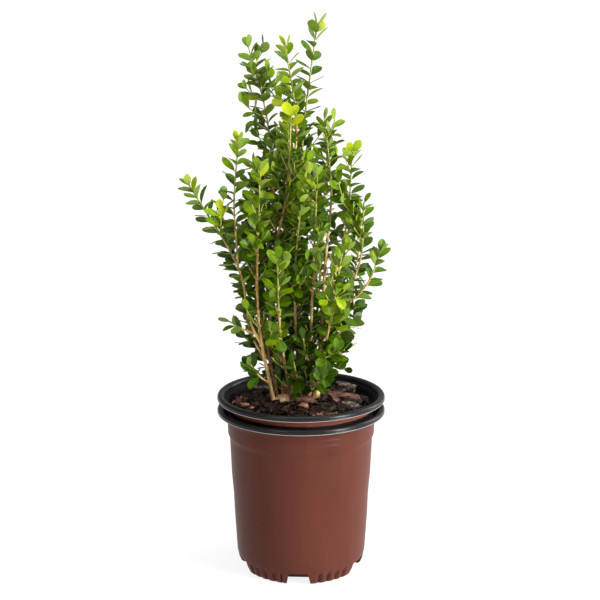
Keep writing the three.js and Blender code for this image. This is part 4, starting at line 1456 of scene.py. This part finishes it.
class BOXWOOD_OT_pots(bpy.types.Operator):
    """Two nested thin-walled nursery pots with rolled black rims"""

    bl_idname = "boxwood.pots"
    bl_label = "Pots"

    def execute(self, context):
        settings = context.scene.boxwood.pot
        brown = plastic("brown_plastic", settings.brown, 0.4, 0.01, gloss=0.1)
        # Painted light: the inner pot's brown is 2.4 times lighter, with dense pale specks, so the strip of
        # its wall between the rims looks lit
        lightened_brown = plastic("scuffed_brown_plastic", Vector(settings.brown) * 2.4, 0.5, 0.3, gloss=0.2)
        black = plastic("black_plastic", settings.black, 0.28, 0.02, gloss=0.24)
        inside_black = plastic("black_inside", settings.black, 0.6, 0.03, gloss=0.1)
        edge_highlight = plastic("worn_plastic", EDGE_HIGHLIGHT_GREY, 0.45, 0.05)
        wall = settings.wall / MM
        for name, lift, trim, outside in (
            ("outer_pot", 0, 0, brown), ("inner_pot", NEST_LIFT, NEST_TRIM, lightened_brown),
        ):
            pot = build_pot(f"{name}_wall", lift, trim, wall, settings.flute_depth / MM)
            pot.data.materials.clear()
            paint_wall(pot, lift, trim, wall)
            stands(pot, "brown_plastic", [name], outside, inside_black)
            rim = revolve(f"{name}_rim", lip_profile(lift, trim))
            # Painted highlight: a pale grey band on the faces along the rim's lower edge
            edge = (lift + POT_HEIGHT - RIM_DEPTH + EDGE_HIGHLIGHT_HEIGHT) * MM
            for face in rim.data.polygons:
                face.material_index = int(face.center.z < edge and face.normal.z > -0.95)
            stands(rim, "black_plastic", [name], black, edge_highlight)
        return {"FINISHED"}


# Potting mix

def soil_height(x, y, relief):
    """Height of the top of the mix, lumpy and sinking a little towards the wall."""
    away = math.hypot(x, y)
    lumps = noise.fractal(Vector((x, y, 0)) * LUMP_SCALE, 0.9, 2.1, 5) * relief
    return SOIL_TOP - 0.6 + lumps - MIX_SINK * smooth_step(away, *SINKS_OVER)


def chip_shape(name, size, seed, flakes=1):
    """A split piece of bark: one or more angular flakes on each other, ragged at their ends."""
    rng = random.Random(seed)
    shape = bmesh.new()
    for flake in range(flakes):
        level = (flake + 0.5) / flakes - 0.5
        shift = rng.uniform(-0.14, 0.14) * (flakes > 1)
        corners = []
        for along in CHIP_STATIONS:
            broad = 0.5 * (1 - 1.3 * abs(along) ** 1.6) * rng.uniform(0.75, 1.1)
            for side, up in CHIP_CORNERS:
                corners.append(shape.verts.new(metres((
                    (along + shift + rng.uniform(-0.05, 0.05)) * size[0],
                    (side * broad + rng.uniform(-0.08, 0.08)) * size[1],
                    (level + up / flakes + rng.uniform(-0.12, 0.12) / flakes) * size[2],
                ))))
        hull = bmesh.ops.convex_hull(shape, input=corners)["geom"]
        kept = {corner for face in hull if isinstance(face, bmesh.types.BMFace) for corner in face.verts}
        loose = [corner for corner in corners if corner not in kept]
        bmesh.ops.delete(shape, geom=loose, context="VERTS")
    return solid(name, shape, smooth=False)


def scatter_rows(rng, count, length, sizes, tilt, relief):
    """Places of bits on the mix, spread evenly clear of the root crown, each tilted a little."""
    (middle_x, middle_y), (half_x, half_y) = KEPT_CLEAR
    rows = []
    while len(rows) < count:
        size = rng.uniform(*sizes)
        away = (SOIL_RADIUS - 0.8 - length * size / 2) * math.sqrt(rng.random())
        bearing = rng.uniform(0, 2 * math.pi)
        x, y = away * math.cos(bearing), away * math.sin(bearing)
        if length > 5 and math.hypot((x - middle_x) / half_x, (y - middle_y) / half_y) < 1:
            continue
        place = metres((x, y, soil_height(x, y, relief) + (0.3 + length / 14) * size))
        turn = (rng.uniform(-tilt, tilt), rng.uniform(-tilt, tilt), rng.uniform(0, 2 * math.pi))
        rows.append((place, turn, (size, size * rng.uniform(0.7, 1.2), size * rng.uniform(0.7, 1.3)), 0))
    return rows


def soil_bed(relief):
    """The bed of the mix: its lumpy top, and a flat underside."""
    shape = bmesh.new()
    rings = []
    for step in range(BED_RINGS + 1):
        away = SOIL_RADIUS * step / BED_RINGS
        ring = []
        for i in range(BED_SIDES if step else 1):
            turn = 2 * math.pi * i / BED_SIDES
            x, y = away * math.cos(turn), away * math.sin(turn)
            ring.append(shape.verts.new(metres((x, y, soil_height(x, y, relief)))))
        rings.append(ring)
    edge = [corner.co for corner in rings[-1]]
    rings.append([shape.verts.new((at.x * 0.985, at.y * 0.985, SOIL_FLOOR * MM)) for at in edge])
    bridge(shape, rings)
    shape.faces.new(rings[-1])
    return solid("mix_bed", shape)


def laid_chip(name, place, size, turn, flakes, seed):
    x, y, rise = place
    chip = chip_shape(name, size, seed, flakes)
    tilt = Euler((0.18, 0.1, math.radians(turn))).to_matrix().to_4x4()
    chip.data.transform(Matrix.Translation(metres((x, y, SOIL_TOP + 1 + rise))) @ tilt)
    return chip


def pebbles():
    shape = bmesh.new()
    for x, y, radius in PEBBLES:
        add_ball(shape, (x, y, SOIL_TOP + radius * 0.4), (radius * 1.15, radius * 0.9, radius * 0.75))
    noise.seed_set(PEBBLE_SEED)
    for vertex in shape.verts:
        vertex.co += noise.noise_vector(vertex.co * 260) * 0.5 * MM
    return from_bmesh("round_bits", shape)


class BOXWOOD_OT_soil(bpy.types.Operator):
    """Dark potting mix with bark chips, crumbs, straw and pale bits on it"""

    bl_idname = "boxwood.soil"
    bl_label = "Potting mix"

    def execute(self, context):
        settings = context.scene.boxwood.soil
        relief = settings.relief / MM
        soil = ("potting_mix", ["potting_soil"])
        stands(soil_bed(relief), *soil, grained("potting_mix", settings.colour))
        finishes = {name: grained(name) for name in CHIP_FINISHES}
        rng = random.Random(5)
        tree = scatter_tree("scattered_bits", ["Bit"], [("Finish", None)])
        for number, (name, size, finish, whole, share, sizes, tilt) in enumerate(BITS):
            bit = chip_shape("bit", size, 11 + number)
            rows = scatter_rows(rng, int(getattr(settings, whole) * share), size[0], sizes, tilt, relief)
            values = {"Bit": bit, "Finish": finishes[finish]}
            stands(run_tree(points_object("bits", rows), tree, values, name), *soil)
            bpy.data.objects.remove(bit)
        for number, (*form, finish) in enumerate(LAID_CHIPS):
            stands(laid_chip(*form, 4 + number), *soil, finishes[finish])
        stands(pebbles(), *soil, finishes["tan_bit"])
        return {"FINISHED"}


# Stage

def area_light(name, place, target, size, power):
    light = bpy.data.lights.new(name, "AREA")
    light.shape = "RECTANGLE"
    light.size, light.size_y = size
    light.energy = power
    lamp = bpy.data.objects.new(name, light)
    lamp.location = place
    lamp.rotation_euler = (Vector(target) - Vector(place)).to_track_quat("-Z", "Y").to_euler()
    bpy.context.scene.collection.objects.link(lamp)


def set_camera(scene, settings):
    camera = bpy.data.cameras.new("camera")
    camera.lens = settings.lens
    camera.sensor_width = SENSOR_WIDTH
    eye = bpy.data.objects.new("camera", camera)
    eye.location = (CAMERA_ASIDE, -settings.distance, settings.height)
    eye.rotation_euler = (math.pi / 2 - settings.pitch, 0, 0)
    scene.collection.objects.link(eye)
    scene.camera = eye


def lay_floor(colour):
    """A wide pale floor that glows a little more further off, so that its edge doesn't show."""
    shape = bmesh.new()
    bmesh.ops.create_grid(shape, x_segments=2, y_segments=2, size=FLOOR_HALF)
    floor = from_bmesh("floor", shape)
    material, tree, shader = principled("pale_floor", {
        "Roughness": 0.8, "Specular IOR Level": 0.2, "Emission Color": (1, 1, 1, 1),
    })
    place = add(tree, "ShaderNodeTexCoord")["Object"]
    away = add(tree, "ShaderNodeVectorMath", {0: place}, operation="LENGTH")["Value"]
    feed(tree, shader, {
        "Emission Strength": add(tree, "ShaderNodeMapRange", {"Value": away, **FLOOR_GLOW})["Result"],
        "Base Color": ramp(tree, noise_at(tree, 2), [(0.3, rgba(colour, 0.99)), (0.7, rgba(colour))]),
    })
    floor.data.materials.append(material)


def light_sky(scene):
    """A white sky, brighter at the right."""
    world = bpy.data.worlds.new("studio")
    scene.world = world
    world.use_nodes = True
    tree = world.node_tree
    place = add(tree, "ShaderNodeTexCoord")["Generated"]
    side = add(tree, "ShaderNodeVectorMath", {0: place, 1: SKY_SIDE}, operation="DOT_PRODUCT")["Value"]
    light = add(tree, "ShaderNodeMapRange", {"Value": side, **SKY_LIGHT})["Result"]
    feed(tree, tree.nodes["Background"], {"Color": (1, 1, 1, 1), "Strength": light})


class BOXWOOD_OT_stage(bpy.types.Operator):
    """Plain pale floor, soft studio light and the camera"""

    bl_idname = "boxwood.stage"
    bl_label = "Stage"

    def execute(self, context):
        settings = context.scene.boxwood.stage
        set_camera(context.scene, settings)
        lay_floor(settings.floor)
        light_sky(context.scene)
        context.scene.view_settings.view_transform = "Standard"
        for row in LIGHTS:
            area_light(*row)
        return {"FINISHED"}


class BOXWOOD_PT_panel(bpy.types.Panel):
    """Lists the steps that build the potted boxwood"""

    bl_idname = "BOXWOOD_PT_panel"
    bl_label = "Potted boxwood"
    bl_space_type = "VIEW_3D"
    bl_region_type = "UI"
    bl_category = "Boxwood"

    def draw(self, context):
        settings = context.scene.boxwood
        for operator, group in PANEL_ROWS:
            self.layout.operator(operator)
            for name in getattr(settings, group).__annotations__ if group else ():
                self.layout.prop(getattr(settings, group), name)


PANEL_ROWS = [
    ("boxwood.stage", "stage"),
    ("boxwood.pots", "pot"),
    ("boxwood.soil", "soil"),
    ("boxwood.root_crown", None),
    ("boxwood.stems", "stem"),
    ("boxwood.twigs", None),
    ("boxwood.leaves", "leaf"),
]

CLASSES = [
    BoxwoodPotSettings,
    BoxwoodSoilSettings,
    BoxwoodStemSettings,
    BoxwoodLeafSettings,
    BoxwoodStageSettings,
    BoxwoodSettings,
    BOXWOOD_OT_stage,
    BOXWOOD_OT_pots,
    BOXWOOD_OT_soil,
    BOXWOOD_OT_root_crown,
    BOXWOOD_OT_stems,
    BOXWOOD_OT_twigs,
    BOXWOOD_OT_leaves,
    BOXWOOD_PT_panel,
]


def register():
    for kind in CLASSES:
        bpy.utils.register_class(kind)
    bpy.types.Scene.boxwood = PointerProperty(type=BoxwoodSettings)


def unregister():
    del bpy.types.Scene.boxwood
    for kind in reversed(CLASSES):
        bpy.utils.unregister_class(kind)


def main():
    register()
    bpy.ops.boxwood.stage()
    bpy.ops.boxwood.pots()
    bpy.ops.boxwood.soil()
    bpy.ops.boxwood.root_crown()
    bpy.ops.boxwood.stems()
    bpy.ops.boxwood.twigs()
    bpy.ops.boxwood.leaves()


if __name__ == "__main__":
    main()
